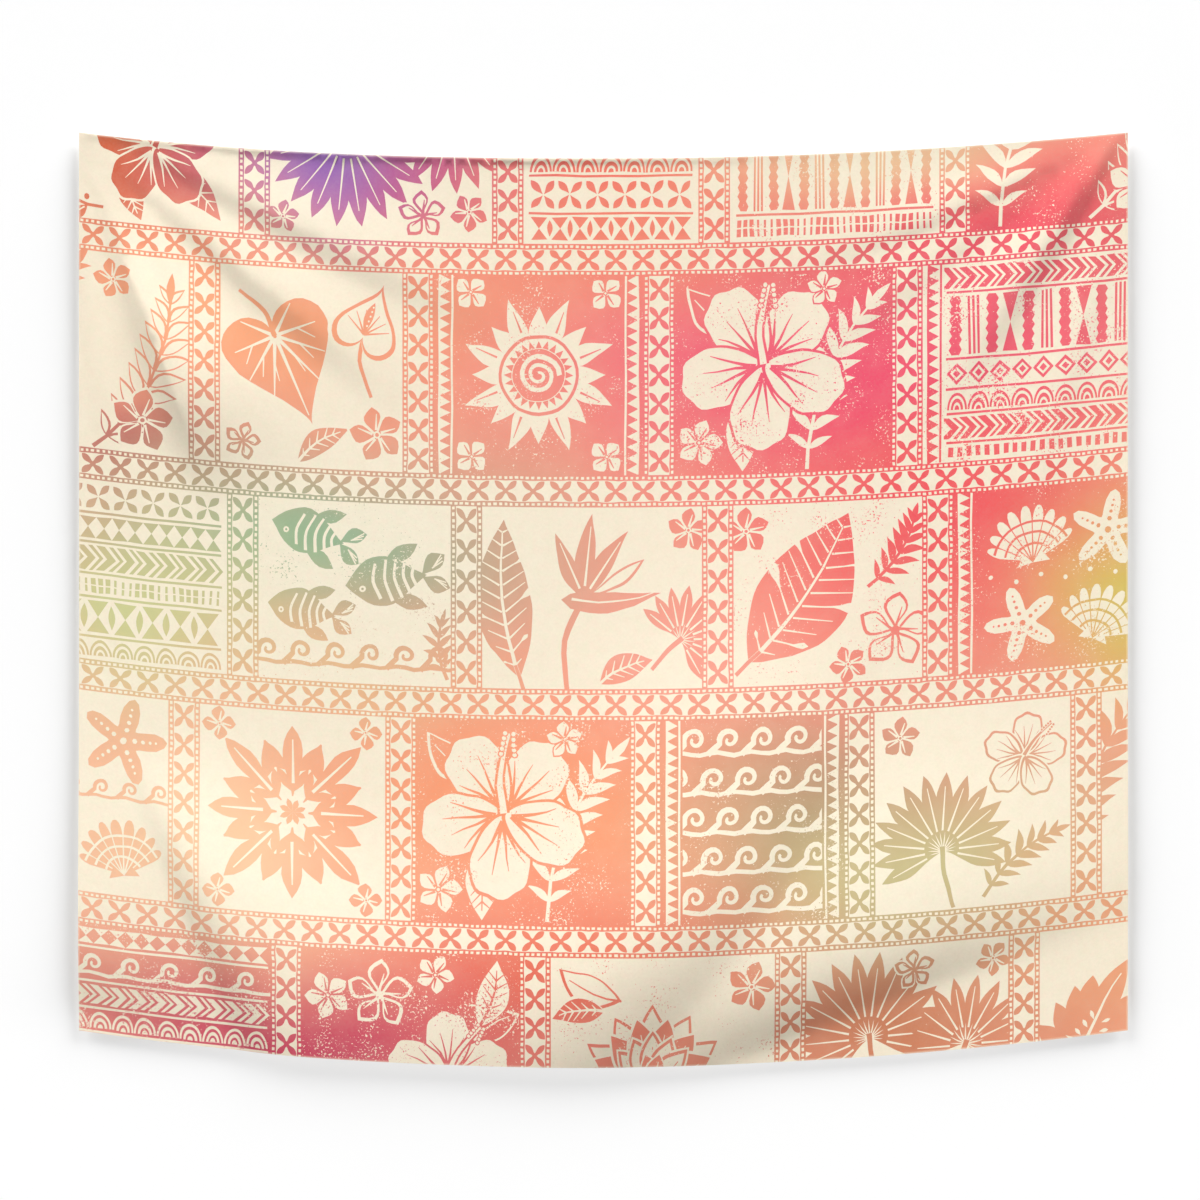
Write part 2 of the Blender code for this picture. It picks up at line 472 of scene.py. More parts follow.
def fan_leaf(panel, hub, radius, facing, spread=210, segments=13):
    """A fan palm leaf: stiff folded fingers around a hub on a long stalk."""
    for k in range(segments):
        share = k / (segments - 1) - 0.5
        out = turn(facing + share * spread) * radius * (1 - 0.55 * share**2)
        panel.stamp(blade(hub + 0.05 * out, hub + out, 0.21 * radius, 0.60, 0, 11))
        panel.crease(hub + 0.25 * out, hub + 0.82 * out, 0.0030, 0.0012)
    away = -turn(facing) * radius
    stalk = [hub + 0.06 * radius * turn(facing), hub + 0.30 * away, hub + away * turn(6) * 0.75]
    panel.stalk(stalk, 0.0076, 0.0056)


def heart(at, size, facing, sides=50):
    """The outline of a heart-shaped leaf, its point towards `facing`."""
    points = []
    for k in range(sides):
        a = 2 * math.pi * k / sides
        across = 16 * math.sin(a) ** 3
        up = 13 * math.cos(a) - 5 * math.cos(2 * a) - 2 * math.cos(3 * a) - math.cos(4 * a)
        up = up if up > 0 else up * 1.35
        points.append(at + complex(-up, across) / 17 * size * turn(facing))
    return points


MAIN_VEINS = (0, 24, -24, 52, -52, 88, -88, 132, -132)


def taro_leaf(panel, at, size, facing):
    """A heart-shaped leaf with bare veins that fan out from its stalk, on a bare halo."""
    panel.stamp(heart(at + 0.02 * size * turn(facing), size * 1.09, facing), False)
    panel.stamp(heart(at, size, facing))
    root = at - 0.24 * size * turn(facing)
    for angle, reach in zip(MAIN_VEINS, (1.42, 1.06, 1.06, 0.88, 0.88, 0.74, 0.74, 0.62, 0.62)):
        out = turn(facing + angle) * size * reach
        panel.crease(root + 0.04 * out, root + out, 0.0056, 0.0014)
    for angle in MAIN_VEINS[1:7]:
        start = root + turn(facing + angle) * size * 0.42
        panel.crease(start, start + turn(facing + angle * 0.45) * 0.34 * size, 0.0026, 0.0012)
    stalk = [root, root - 0.45 * size * turn(facing), root - 0.95 * size * turn(facing + 16)]
    panel.stalk(stalk, 0.0070, 0.0050)


def flamingo_flower(panel, at, size, facing):
    """A waxy heart-shaped flower drawn in outline, with a dotted spike."""
    stalk = [at, at - 0.9 * size * turn(facing + 10), at - 1.9 * size * turn(facing + 26)]
    panel.stalk(stalk, 0.0064, 0.0050)
    panel.stamp(heart(at + 0.02 * size * turn(facing), size * 1.12, facing), False)
    panel.stamp(heart(at, size, facing))
    panel.stamp(heart(at + 0.02 * size * turn(facing), size * 0.86, facing), False)
    root = at - 0.16 * size * turn(facing)
    for angle in (-64, -40, -18, 18, 40, 64):
        panel.brush([root, root + turn(facing + angle) * size * 0.68], 0.0034, 0.0010)
    spike = root + turn(facing + 4) * size * 0.92
    panel.stamp(blade(root, spike, 0.26 * size, 0.55, 0.04))
    for k in range(1, 6):
        panel.stamp(disc(root + (spike - root) * (0.14 + 0.14 * k), 0.030 * size, 6), False)


def crane_flower(panel, at, size, facing=70):
    """A flower like a crane's head: upright sepals and a tongue above a long pointed sheath."""
    along_sheath = size * turn(facing - 66)
    sheath = at + along_sheath
    stalk = [at, at - 0.6 * size * turn(facing - 4), at - 1.4 * size * turn(facing + 12)]
    panel.stalk(stalk, 0.0095, 0.0070)
    for angle, reach, width in ((-14, 1.02, 0.24), (14, 1.08, 0.26), (44, 0.90, 0.23)):
        end = at + reach * size * turn(facing + angle)
        panel.stamp(blade(at, end, width * size, 0.42, 0.03))
        panel.crease(at + (end - at) * 0.14, at + (end - at) * 0.84, 0.0036, 0.0012)
    hollow_blade(panel, at, at + 0.92 * size * turn(facing - 38), 0.19 * size, 0.0038, 0.6, -0.04)
    panel.stamp(blade(at - 0.30 * along_sheath, sheath, 0.28 * size, 0.34, -0.06, 11))
    groove = bowed_path(at - 0.16 * along_sheath, sheath - 0.1 * along_sheath, -0.07, 6)
    panel.brush(groove, 0.0036, 0.0012, False)


def fish(panel, at, length, facing):
    """A plump reef fish with a barred body."""
    ahead = turn(facing)
    nose, root = at + 0.5 * length * ahead, at - 0.30 * length * ahead
    for side in (1, -1):
        tail = root + 0.27 * length * turn(facing + 180 + 38 * side)
        panel.stamp(blade(root + 0.05 * length * ahead, tail, 0.17 * length, 0.6, 0.06 * side, 7))
        fin = at + 0.14j * side * length * ahead
        fin_tip = fin - (0.26 - 0.16j * side) * length * ahead
        panel.stamp(blade(fin + 0.14 * length * ahead, fin_tip, 0.15 * length, 0.6, 0.0, 7))
        for k in range(3):
            ray = root + (0.08 + 0.02 * k) * length * turn(facing + 180 + 38 * side)
            panel.crease(ray, ray + 0.13 * length * turn(facing + 180 + (24 + 12 * k) * side), 0.0018)
    panel.stamp(blade(root, nose, 0.48 * length, 0.56, 0, 13))
    panel.stamp(disc(at + (0.33 + 0.05j) * length * ahead, 0.034 * length, 9), False)
    panel.stamp(disc(at + (0.33 + 0.05j) * length * ahead, 0.014 * length, 6))
    for place, reach in ((0.22, 0.17), (0.11, 0.195), (0.01, 0.185), (-0.08, 0.155), (-0.16, 0.11)):
        stripe = (place - 0.04 + reach * 1j, place, place - 0.04 - reach * 1j)
        stripe = [at + point * length * ahead for point in stripe]
        panel.brush(smooth(stripe), 0.034 * length, 0.026 * length, False)


def scallop(panel, at, radius, facing, ribs=9):
    """A fan shell: round-ended ribs from a hinge with two ears."""
    hinge = at - 0.5 * radius * turn(facing)
    for k in range(ribs):
        angle = (k / (ribs - 1) - 0.5) * 124
        reach = radius * (1.04 - 0.16 * (angle / 62) ** 2)
        out = turn(facing + angle) * reach
        half = 0.092j
        rib = [0.10, 0.74 - half, 0.86 - half, 0.95 - 0.8 * half, 1.01 - 0.4 * half, 1.02]
        rib += [1.01 + 0.4 * half, 0.95 + 0.8 * half, 0.86 + half, 0.74 + half]
        panel.stamp([hinge + share * out for share in rib])
    for ring in (0.36, 0.56, 0.76):
        panel.brush(arc(hinge, ring * radius, facing - 66, facing + 66, 14), 0.0034, inked=False)
    for side in (1, -1):
        outer = hinge + 0.30 * radius * turn(facing + 96 * side)
        panel.stamp([hinge, outer, hinge + 0.26 * radius * turn(facing + 40 * side)])


def starfish(panel, at, radius, lean=90):
    """A blunt five-armed star with a row of bare dots along each arm."""
    outline = []
    for k in range(50):
        angle = 360 * k / 50
        reach = 0.34 + 0.66 * abs(math.cos(math.radians(2.5 * angle))) ** 2.2
        outline.append(at + radius * reach * turn(lean + angle))
    panel.stamp(outline)
    for k in range(5):
        for share in (0.26, 0.44, 0.60, 0.74):
            bead = at + share * radius * turn(lean + 72 * k)
            panel.stamp(disc(bead, 0.058 * radius * (1.25 - share), 6), False)
    panel.stamp(disc(at, 0.08 * radius, 8), False)


def sun(panel, at, radius, rays=16):
    """A sun with long and short rays around a coiled heart."""
    for k in range(rays):
        out = turn(360 * k / rays) * radius * (1.0 if k % 2 else 0.84)
        panel.stamp(blade(at + 0.40 * out, at + out, 0.24 * radius, 0.34, 0.05 if k % 2 else 0, 8))
        if k % 2:
            panel.crease(at + 0.56 * out, at + 0.84 * out, 0.0034, 0.0012)
    panel.stamp(disc(at, 0.50 * radius, 36), False)
    panel.stamp(disc(at, 0.46 * radius, 36))
    for k in range(24):
        tooth = turn(15 * k) * radius
        panel.stamp([at + 0.335 * tooth * turn(-7), at + 0.43 * tooth, at + 0.335 * tooth * turn(7)], False)
    panel.stamp(disc(at, 0.325 * radius, 30), False)
    coil = arc(at, 0.26 * radius, 0, 820, 44, 0.03 * radius)
    panel.brush(coil, 0.062 * radius, 0.036 * radius)


def wave_scroll(panel, at, size, count, step):
    """A row of curling wave crests on a swell line."""
    for k in range(count):
        foot = at + k * step
        curl = arc(foot + size * (0.12 + 0.52j), 0.42 * size, 200, -215, 18, 0.08 * size)
        rise = [foot - 0.72 * size - 0.05j * size, foot - size * (0.46 - 0.20j)]
        panel.brush(rise + curl, 0.24 * size, 0.10 * size)
    base = [at - size + step * k / 2 + (0.05j if k % 2 else -0.05j) * size for k in range(2 * count + 2)]
    panel.brush(smooth(base, 2), 0.17 * size)


def quilt_star(panel, at, radius):
    """An eight-fold star of leaves and buds, as is cut from folded cloth for a quilt."""
    for k in range(8):
        out = turn(45 * k) * radius
        long_arm = 1.0 if k % 2 else 0.88
        panel.stamp(blade(at + 0.08 * out, at + long_arm * out, 0.22 * radius, 0.66, 0, 10))
        for side in (1, -1):
            root = at + 0.42 * out
            tip = root + 0.42 * out * turn(46 * side)
            panel.stamp(blade(root, tip, 0.16 * radius, 0.55, 0.12 * side, 7))
            root = at + 0.20 * out
            tip = root + 0.30 * out * turn(34 * side)
            panel.stamp(blade(root, tip, 0.10 * radius, 0.55, 0, 5))
        panel.crease(at + 0.30 * out, at + (long_arm - 0.14) * out, 0.0046, 0.0018)
    panel.stamp(disc(at, 0.16 * radius, 20), False)
    for k in range(8):
        panel.stamp(blade(at, at + 0.14 * radius * turn(45 * k + 22), 0.06 * radius, 0.6, 0, 4))


def water_lily(panel, at, radius):
    """A water lily seen from the side, its petals overlapping, above ripples."""
    layers = ((7, 156, 1.0, 0.36, False), (6, 118, 0.86, 0.34, True), (5, 78, 0.70, 0.28, False),
              (2, 20, 0.5, 0.2, True))
    for count, spread, reach, width, solid in layers:
        for k in range(count):
            share = k / (count - 1) - 0.5
            out = turn(90 - share * spread) * radius * reach * (1 - 0.25 * abs(share))
            bow = 0.10 * share
            panel.stamp(blade(at - 0.02 * out, at + 1.05 * out, width * radius * 1.16, 0.55, bow), False)
            if solid:
                panel.stamp(blade(at, at + out, width * radius, 0.55, bow))
                panel.crease(at + 0.30 * out, at + 0.80 * out, 0.0032, 0.0012)
            else:
                hollow_blade(panel, at, at + out, width * radius, 0.0040, 0.55, bow)
                panel.brush([at + 0.25 * out, at + 0.74 * out], 0.0036, 0.0012)
    for k, reach in enumerate((1.15, 0.88, 0.55)):
        y = -(0.10 + 0.14 * k) * radius
        ripple = []
        for j in range(9):
            ripple.append(at + complex(reach * radius * (j / 4 - 1), y + 0.03 * radius * (-1) ** j))
        panel.brush(smooth(ripple, 3), 0.0056, 0.0036)


def sprig(panel, base, tip, bow, leaves, size):
    """A stem with leaves on alternate sides and a berry in each joint."""
    stem = bowed_path(base, tip, bow, leaves + 1)
    panel.brush(stem, 0.0046, 0.0028)
    for k in range(1, leaves + 1):
        heading = heading_at(stem, k)
        side = 1 if k % 2 else -1
        leaf = size * heading * turn(48 * side)
        panel.stamp(blade(stem[k], stem[k] + leaf, size * 0.44, 0.5, 0.06 * side, 7))
        panel.crease(stem[k] + leaf * 0.15, stem[k] + leaf * 0.8, 0.0024, 0.0010)
        panel.stamp(disc(stem[k] + 0.28 * size * heading * turn(-70 * side), 0.11 * size, 8))


# Strips of simple traditional figures, as are printed on bark cloth. A strip is a row of equal cells.
class Cell:
    """One cell of a strip, or a whole strip."""

    def __init__(self, left, low, width, height):
        self.left, self.low, self.width, self.height = left, low, width, height
        self.middle = self.at(0.5, 0.5)

    def at(self, across, up):
        """A point given as shares of the cell's width and height, from its lower left corner."""
        return complex(self.left + across * self.width, self.low + up * self.height)


def saw_teeth(panel, cell, number):
    """One tooth that rises from the bottom and one that hangs from the top, point to point."""
    panel.stamp([cell.at(0, 0), cell.at(1, 0), cell.middle])
    panel.stamp([cell.at(0, 1), cell.middle, cell.at(1, 1)])


def hourglass(panel, cell, number):
    """An hourglass, with a slim upright leaf between it and the one before."""
    for up in (0, 1):
        panel.stamp([cell.at(0.10, up), cell.at(0.90, up), cell.middle])
    if number:
        panel.stamp(blade(cell.at(0, 0.12), cell.at(0, 0.88), 0.26 * cell.width, 0.5, 0, 6))


def lozenge(panel, cell, number):
    """A lozenge with a smaller one inside it."""
    for reach, inked in ((0.48, True), (0.31, False), (0.17, True)):
        corners = ((-reach, 0), (0, -reach), (reach, 0), (0, reach))
        panel.stamp([cell.at(0.5 + x, 0.5 + y) for x, y in corners], inked)


def petal_cross(panel, cell, number):
    """Four petals that meet in the middle of the cell."""
    for x, y in ((0.42, 0.46), (0.42, -0.46), (-0.42, -0.46), (-0.42, 0.46)):
        arm = complex(x * cell.width, y * cell.height)
        panel.stamp(blade(cell.middle + 0.04 * arm, cell.middle + arm, 0.27 * cell.width, 0.60, 0, 6))


def bar(panel, cell, number):
    """An upright bar."""
    panel.stamp(rectangle(cell.middle, 0.54 * cell.width, 0.88 * cell.height))


def spearheads(panel, cell, number):
    """A broad and a slim spearhead, one behind the other."""
    for start, thick in ((0.0, 0.42), (0.62, 0.20)):
        back, front, lead = start, start + thick, 0.275
        corners = ((back - lead, 0), (front - lead, 0), (front + lead, 0.5),
                   (front - lead, 1), (back - lead, 1), (back + lead, 0.5))
        panel.stamp([cell.at(x, y) for x, y in corners])


def fan(panel, cell, number):
    """A half-round fan of three bands."""
    for reach, inked in ((0.49, True), (0.40, False), (0.31, True), (0.20, False), (0.12, True)):
        panel.stamp([cell.at(0.5 + p.real, 2 * p.imag) for p in arc(0, reach, 0, 180, 12)], inked)


def column(panel, cell, number):
    """In turn a saw-edged post, three bars, another post and a tall hourglass."""
    if number % 4 == 3:
        for up in (0, 1):
            panel.stamp([cell.at(0.08, up), cell.at(0.92, up), cell.middle])
    elif number % 2 == 0:
        teeth = max(round(cell.height / 0.013), 3)
        side = [(0.20 + 0.14 * (j % 2), j / (2 * teeth)) for j in range(2 * teeth + 1)]
        left_side = [cell.at(0.5 - x, up) for x, up in side]
        panel.stamp([cell.at(0.5 + x, up) for x, up in side] + left_side[::-1])
    else:
        for x in (0.26, 0.50, 0.74):
            panel.stamp(rectangle(cell.at(x, 0.5), 0.13 * cell.width, cell.height))


def squares(panel, cell, number):
    """Two small squares one above the other, three such pairs in turn with three pairs of slim dashes."""
    width = 0.66 if number % 6 < 3 else 0.32
    for up in (0.26, 0.74):
        panel.stamp(rectangle(cell.at(0.5, up), width * cell.width, 0.40 * cell.height))


def zigzag(panel, strip, count):
    """Two zigzag lines, one above the other, along a whole strip."""
    for level in (0.30, 0.70):
        points = [strip.at(k / (2 * count), level - 0.28 * (-1) ** k) for k in range(2 * count + 1)]
        panel.brush(points, 0.17 * strip.height)


def waves(panel, strip, count):
    """Curling waves on a swell line, along a whole strip."""
    wave_scroll(panel, strip.at(0.4 / count, 0.16), 0.78 * strip.height, count, strip.width / count)


def rule(panel, strip, count):
    """A thin line along a whole strip."""
    panel.brush([strip.at(k / count, 0.5) for k in range(count + 1)], RULE_WIDTH)


STRIP_GAP, STRIP_END_MARGIN = 0.0038, 0.006
RULE_WIDTH = 0.0034
RULE = (rule, 0.003, 6)


def strips(panel, rows, margin=0.008):
    """Strips that fill a panel from the top down, with a rule between every two. Each row says what its
    strip is made of, its share of the height, and how many figures it has."""
    left, right = -panel.half_width + margin, panel.half_width - margin
    top = panel.half_height - STRIP_END_MARGIN
    rows = [part for row in rows for part in (RULE, row)][1:]
    room = 2 * top - STRIP_GAP * (len(rows) - 1)
    scale = room / sum(height for _, height, _ in rows)
    for draw, share, count in rows:
        height = scale * share
        top -= height
        if draw in (zigzag, waves, rule):
            draw(panel, Cell(left, top, right - left, height), count)
        else:
            pitch = (right - left) / count
            for k in range(count):
                draw(panel, Cell(left + k * pitch, top, pitch, height), k)
        top -= STRIP_GAP


def tooth_columns(panel):
    """A saw-toothed column between two lines, down each side of a panel."""
    height = panel.half_height
    teeth = round(2 * height / 0.0155)
    pitch = 2 * height / teeth
    for side in (1, -1):
        outer = side * (panel.half_width - 0.008)
        inner = side * (panel.half_width - 0.026)
        panel.stamp(rectangle(complex(side * (panel.half_width - 0.014), 0), 0.034, 2.1 * height), False)
        for place in (outer, inner):
            panel.brush([complex(place, height * (k / 3 - 1)) for k in range(7)], 0.0030)
        for k in range(teeth):
            y = -height + (k + 0.5) * pitch
            panel.stamp([complex(outer, y - 0.5 * pitch), complex(outer, y + 0.5 * pitch),
                         complex(inner + side * 0.0026, y)])


# The borders between the panels: a row of four-petal crosses between two beaded rails. The finish
# draws them, from how far along and across its border each place lies.
BORDER_WIDTH = 0.0458
CROSS_PITCH = 0.0400
Border = namedtuple("Border", "start end box crosses")
borders = []


def add_border(start, end):
    """One straight border along the line from start to end."""
    length = abs(end - start)
    half = 0.5j * (end - start) / length * BORDER_WIDTH
    corners = np.array([start - half, end - half, end + half, start + half])
    box = (corners.real.min(), corners.imag.min(), corners.real.max(), corners.imag.max())
    borders.append(Border(start, end, box, max(round(length / CROSS_PITCH), 1)))
    stamps.append(Stamp(corners, False, box))


# What is drawn in each panel, in metres from the panel's middle.
def blossoms(p):
    sprig(p, -0.02 - 0.125j, -0.150 - 0.030j, 0.16, 7, 0.038)
    veined_leaf(p, 0.06 - 0.06j, 0.150 - 0.128j, 0.044, 0.10)
    veined_leaf(p, 0.02 - 0.07j, 0.035 - 0.138j, 0.036, -0.10)
    hollow_leaf(p, 0.09 + 0.02j, 0.158 + 0.060j, 0.046, 0.08)
    veined_leaf(p, 0.10 + 0.04j, 0.125 + 0.135j, 0.046, -0.08)
    ruffled_blossom(p, 0.055 - 0.030j, 0.088, 20)
    star_blossom(p, -0.045 + 0.080j, 0.050, 5, 15, outline=True)
    star_blossom(p, -0.120 + 0.075j, 0.034, 5, 40)
    star_blossom(p, 0.035 + 0.112j, 0.028, 5, 60)


def palm_fans(p):
    fan_leaf(p, -0.050 + 0.005j, 0.132, -80, 230, 15)
    fan_leaf(p, 0.105 + 0.035j, 0.110, -115, 200, 12)
    star_blossom(p, 0.060 - 0.105j, 0.036, 5, 20, outline=True)
    star_blossom(p, 0.128 - 0.100j, 0.028, 5, 50)
    star_blossom(p, -0.142 - 0.115j, 0.024, 5, 10)


def low_palms(p):
    fan_leaf(p, -0.055 + 0.010j, 0.125, 100, 230, 15)
    fan_leaf(p, 0.085 - 0.010j, 0.100, 70, 220, 12)
    star_blossom(p, 0.010 + 0.105j, 0.030, 5, 20, outline=True)
    star_blossom(p, 0.125 + 0.110j, 0.026, 5, 50)


def bark_cloth_a(p):
    strips(p, ((bar, 0.022, 26), (petal_cross, 0.040, 8), (saw_teeth, 0.034, 14),
               (column, 0.086, 13), (squares, 0.024, 30)))


def bark_cloth_b(p):
    strips(p, ((hourglass, 0.050, 6), (zigzag, 0.034, 9), (spearheads, 0.028, 9),
               (fan, 0.024, 7), (petal_cross, 0.040, 6), (hourglass, 0.030, 8)))


def bark_cloth_c(p):
    strips(p, ((petal_cross, 0.036, 8), (saw_teeth, 0.030, 14), (spearheads, 0.034, 11),
               (squares, 0.022, 30), (hourglass, 0.044, 8), (fan, 0.022, 10)))


def spear_bands(p):
    """Bands of spearheads, columns, lozenges and fans, with a saw-toothed column down each side."""
    strips(p, ((spearheads, 0.030, 13), (column, 0.082, 13), (lozenge, 0.032, 11),
               (fan, 0.024, 11), (spearheads, 0.030, 13), (bar, 0.016, 26)), margin=0.034)
    tooth_columns(p)


def lilies(p):
    water_lily(p, -0.015 - 0.055j, 0.130)
    star_blossom(p, 0.128 + 0.095j, 0.036, 5, 0)
    hollow_leaf(p, -0.060 + 0.080j, -0.150 + 0.125j, 0.048, 0.10)
    veined_leaf(p, -0.085 + 0.065j, -0.160 + 0.055j, 0.036, -0.08)
    star_blossom(p, -0.150 - 0.100j, 0.026, 5, 30)


def taro_pair(p):
    taro_leaf(p, -0.045 + 0.025j, 0.086, -66)
    flamingo_flower(p, 0.080 + 0.060j, 0.052, 68)
    veined_leaf(p, -0.02 - 0.135j, 0.055 - 0.085j, 0.034, 0.1)
    star_blossom(p, 0.095 - 0.090j, 0.040, 5, 30)
    star_blossom(p, -0.100 - 0.110j, 0.028, 5, 0, outline=True)


def corner_blossoms(p, from_side, from_end, radius, lean):
    """A small blossom of four petals in each corner of a panel."""
    for x in (-1, 1):
        for y in (-1, 1):
            corner = complex(x * (p.half_width - from_side), y * (p.half_height - from_end))
            star_blossom(p, corner, radius, 4, lean)


def sun_panel(p):
    sun(p, 0, 0.116)
    corner_blossoms(p, 0.054, 0.026, 0.026, 45)
    tooth_columns(p)


def great_blossom(p):
    hollow_leaf(p, -0.06 + 0.06j, -0.140 + 0.125j, 0.050, 0.1)
    fern(p, 0.035 - 0.140j, 0.140 + 0.105j, 0.10, 9, 0.056)
    veined_leaf(p, -0.07 - 0.05j, -0.060 - 0.140j, 0.046, 0.06)
    ruffled_blossom(p, -0.028 + 0.012j, 0.120, 50)
    star_blossom(p, -0.122 - 0.098j, 0.034, 5, 0)
    star_blossom(p, 0.060 + 0.118j, 0.026, 5, 20)


def reef_fish(p):
    fish(p, -0.055 + 0.080j, 0.135, 165)
    fish(p, 0.060 + 0.022j, 0.150, 190)
    fish(p, -0.065 - 0.030j, 0.125, 172)
    fern(p, 0.135 - 0.120j, 0.128 - 0.030j, 0.1, 5, 0.030)
    wave_scroll(p, -0.13 - 0.105j, 0.034, 6, 0.050)


def crane_flowers(p):
    banana_leaf(p, -0.105 - 0.115j, -0.128 + 0.112j, 0.082, 0.06)
    veined_leaf(p, 0.010 - 0.122j, 0.088 - 0.088j, 0.040, 0.08)
    crane_flower(p, -0.012 + 0.000j, 0.112)
    fan_leaf(p, 0.128 - 0.060j, 0.080, 40, 200, 11)
    star_blossom(p, 0.140 + 0.095j, 0.032, 5, 10)


def torn_leaf(p):
    banana_leaf(p, -0.115 - 0.095j, 0.030 + 0.112j, 0.135, -0.06)
    star_blossom(p, 0.098 - 0.060j, 0.056, 5, 10, outline=True)
    fern(p, 0.058 + 0.005j, 0.128 + 0.108j, -0.1, 7, 0.040)
    star_blossom(p, 0.030 - 0.105j, 0.028, 5, 40)
    star_blossom(p, -0.118 + 0.092j, 0.034, 5, 20)


def shells(p):
    scallop(p, -0.075 + 0.060j, 0.078, 100)
    starfish(p, 0.040 + 0.058j, 0.058, 80)
    scallop(p, 0.030 - 0.062j, 0.074, 70)
    starfish(p, -0.085 - 0.064j, 0.056, 110)
    for k in range(6):
        p.stamp(disc(complex(-0.130 + 0.036 * k, 0.004 * (-1) ** k), 0.0036, 7))
    tooth_columns(p)


def sea_finds(p):
    scallop(p, 0.055 - 0.078j, 0.076, 100)
    starfish(p, 0.060 + 0.078j, 0.064, 75)
    starfish(p, -0.050 - 0.02j, 0.05, 20)
    wave_scroll(p, -0.10 - 0.005j, 0.026, 7, 0.042)


def quilt_panel(p):
    quilt_star(p, 0, 0.140)
    corner_blossoms(p, 0.028, 0.026, 0.024, 0)


def wave_panel(p):
    for row in range(5):
        start = complex(-p.half_width + 0.044 - 0.023 * (row % 2), 0.096 - 0.056 * row)
        wave_scroll(p, start, 0.038, 6, 0.050)
    tooth_columns(p)


def tide_bands(p):
    """Bands of saw teeth, waves, spearheads, fans, zigzags and lozenges."""
    strips(p, ((saw_teeth, 0.024, 17), (waves, 0.042, 7), (spearheads, 0.030, 14),
               (fan, 0.026, 12), (waves, 0.042, 7), (zigzag, 0.030, 14),
               (lozenge, 0.030, 14)), margin=0.004)


def frond_fan(p):
    fan_leaf(p, -0.045 - 0.060j, 0.112, 95, 220, 14)
    ruffled_blossom(p, 0.075 + 0.065j, 0.062, 10, outline=True)
    fern(p, 0.015 - 0.132j, 0.128 - 0.045j, 0.1, 7, 0.038)
    star_blossom(p, -0.105 + 0.105j, 0.030, 5, 10)


def fronds(p):
    fern(p, -0.13 - 0.14j, -0.02 + 0.13j, 0.10, 10, 0.066)
    fern(p, 0.00 - 0.14j, 0.115 + 0.10j, -0.12, 10, 0.058, outline=True)
    star_blossom(p, 0.072 - 0.095j, 0.046, 5, 10)
    star_blossom(p, 0.030 + 0.105j, 0.030, 5, 30)


def split_leaves(p):
    split_leaf(p, -0.040 + 0.000j, 0.098, 62)
    hollow_leaf(p, 0.095 - 0.020j, 0.150 - 0.110j, 0.046, 0.1)
    ruffled_blossom(p, 0.092 + 0.055j, 0.050, 30, outline=True)
    star_blossom(p, 0.060 - 0.100j, 0.032, 5, 30)


# The patchwork, row by row from the top. A row's panels run from the left, each with its right edge,
# whether its ground is inked, how worn its ink is, and what is drawn in it.
Row = namedtuple("Row", "top bottom panels")
Block = namedtuple("Block", "right reversed_ink worn draw")
FIRST_LEFT = -0.120
LAST_RIGHT = 1.640
PATCHWORK = (
    Row(-0.165, 0.122, (
        Block(0.232, False, 0.0, blossoms), Block(0.600, False, 0.0, palm_fans),
        Block(0.900, False, 0.0, bark_cloth_b), Block(1.250, False, 0.2, bark_cloth_a),
        Block(LAST_RIGHT, True, 0.5, fronds))),
    Row(0.167, 0.452, (
        Block(0.160, False, 0.0, fronds), Block(0.470, False, 0.0, taro_pair),
        Block(0.820, True, 0.3, sun_panel), Block(1.180, True, 0.8, great_blossom),
        Block(LAST_RIGHT, False, 0.7, spear_bands))),
    Row(0.497, 0.757, (
        Block(0.215, False, 0.0, bark_cloth_c), Block(0.540, False, 0.1, reef_fish),
        Block(0.905, False, 0.0, crane_flowers), Block(1.225, False, 0.1, torn_leaf),
        Block(LAST_RIGHT, True, 0.5, shells))),
    Row(0.802, 1.092, (
        Block(0.130, False, 0.0, sea_finds), Block(0.445, False, 0.0, quilt_panel),
        Block(0.800, True, 0.7, great_blossom), Block(1.110, True, 0.3, wave_panel),
        Block(1.440, False, 0.0, frond_fan), Block(LAST_RIGHT, False, 0.0, fronds))),
    Row(1.137, 1.420, (
        Block(0.280, True, 0.8, tide_bands), Block(0.640, True, 1.0, blossoms),
        Block(1.010, False, 0.2, lilies), Block(1.350, False, 0.0, low_palms),
        Block(LAST_RIGHT, False, 0.0, split_leaves))),
)

worn_boxes = []
for row in PATCHWORK:
    left = FIRST_LEFT
    for block in row.panels:
        panel = Panel(left, row.top, block.right, row.bottom, block.reversed_ink)
        block.draw(panel)
        worn_boxes.append((panel.box, block.worn))
        left = block.right + BORDER_WIDTH
    for block in row.panels[:-1]:
        middle = block.right + BORDER_WIDTH / 2
        add_border(complex(middle, -row.top), complex(middle, -row.bottom))
for row in PATCHWORK[:-1]:
    height = -(row.bottom + BORDER_WIDTH / 2)
    add_border(complex(FIRST_LEFT, height), complex(LAST_RIGHT, height))

# The flat cloth is triangulated around every printed outline, so that the print keeps clean edges.
GRID_STEP = 0.0150
LONGEST_EDGE = 0.0200
MERGE_DISTANCE = 2e-5
ROLL_ROWS = (0.0020, 0.0045, 0.0075, 0.0110)


def within(outline, places):
    """Which places lie inside a closed outline."""
    following = np.roll(outline, -1)
    x, y = places.real[:, None], places.imag[:, None]
    crosses = (outline.imag > y) != (following.imag > y)
    rise = np.where(following.imag == outline.imag, 1.0, following.imag - outline.imag)
    meets = outline.real + (y - outline.imag) / rise * (following.real - outline.real)
    return np.count_nonzero(crosses & (x < meets), axis=1) % 2 == 1


def inside_box(box, places):
    """Which places lie inside a level box."""
    left, low, right, high = box
    return (places.real > left) & (places.real < right) & (places.imag > low) & (places.imag < high)


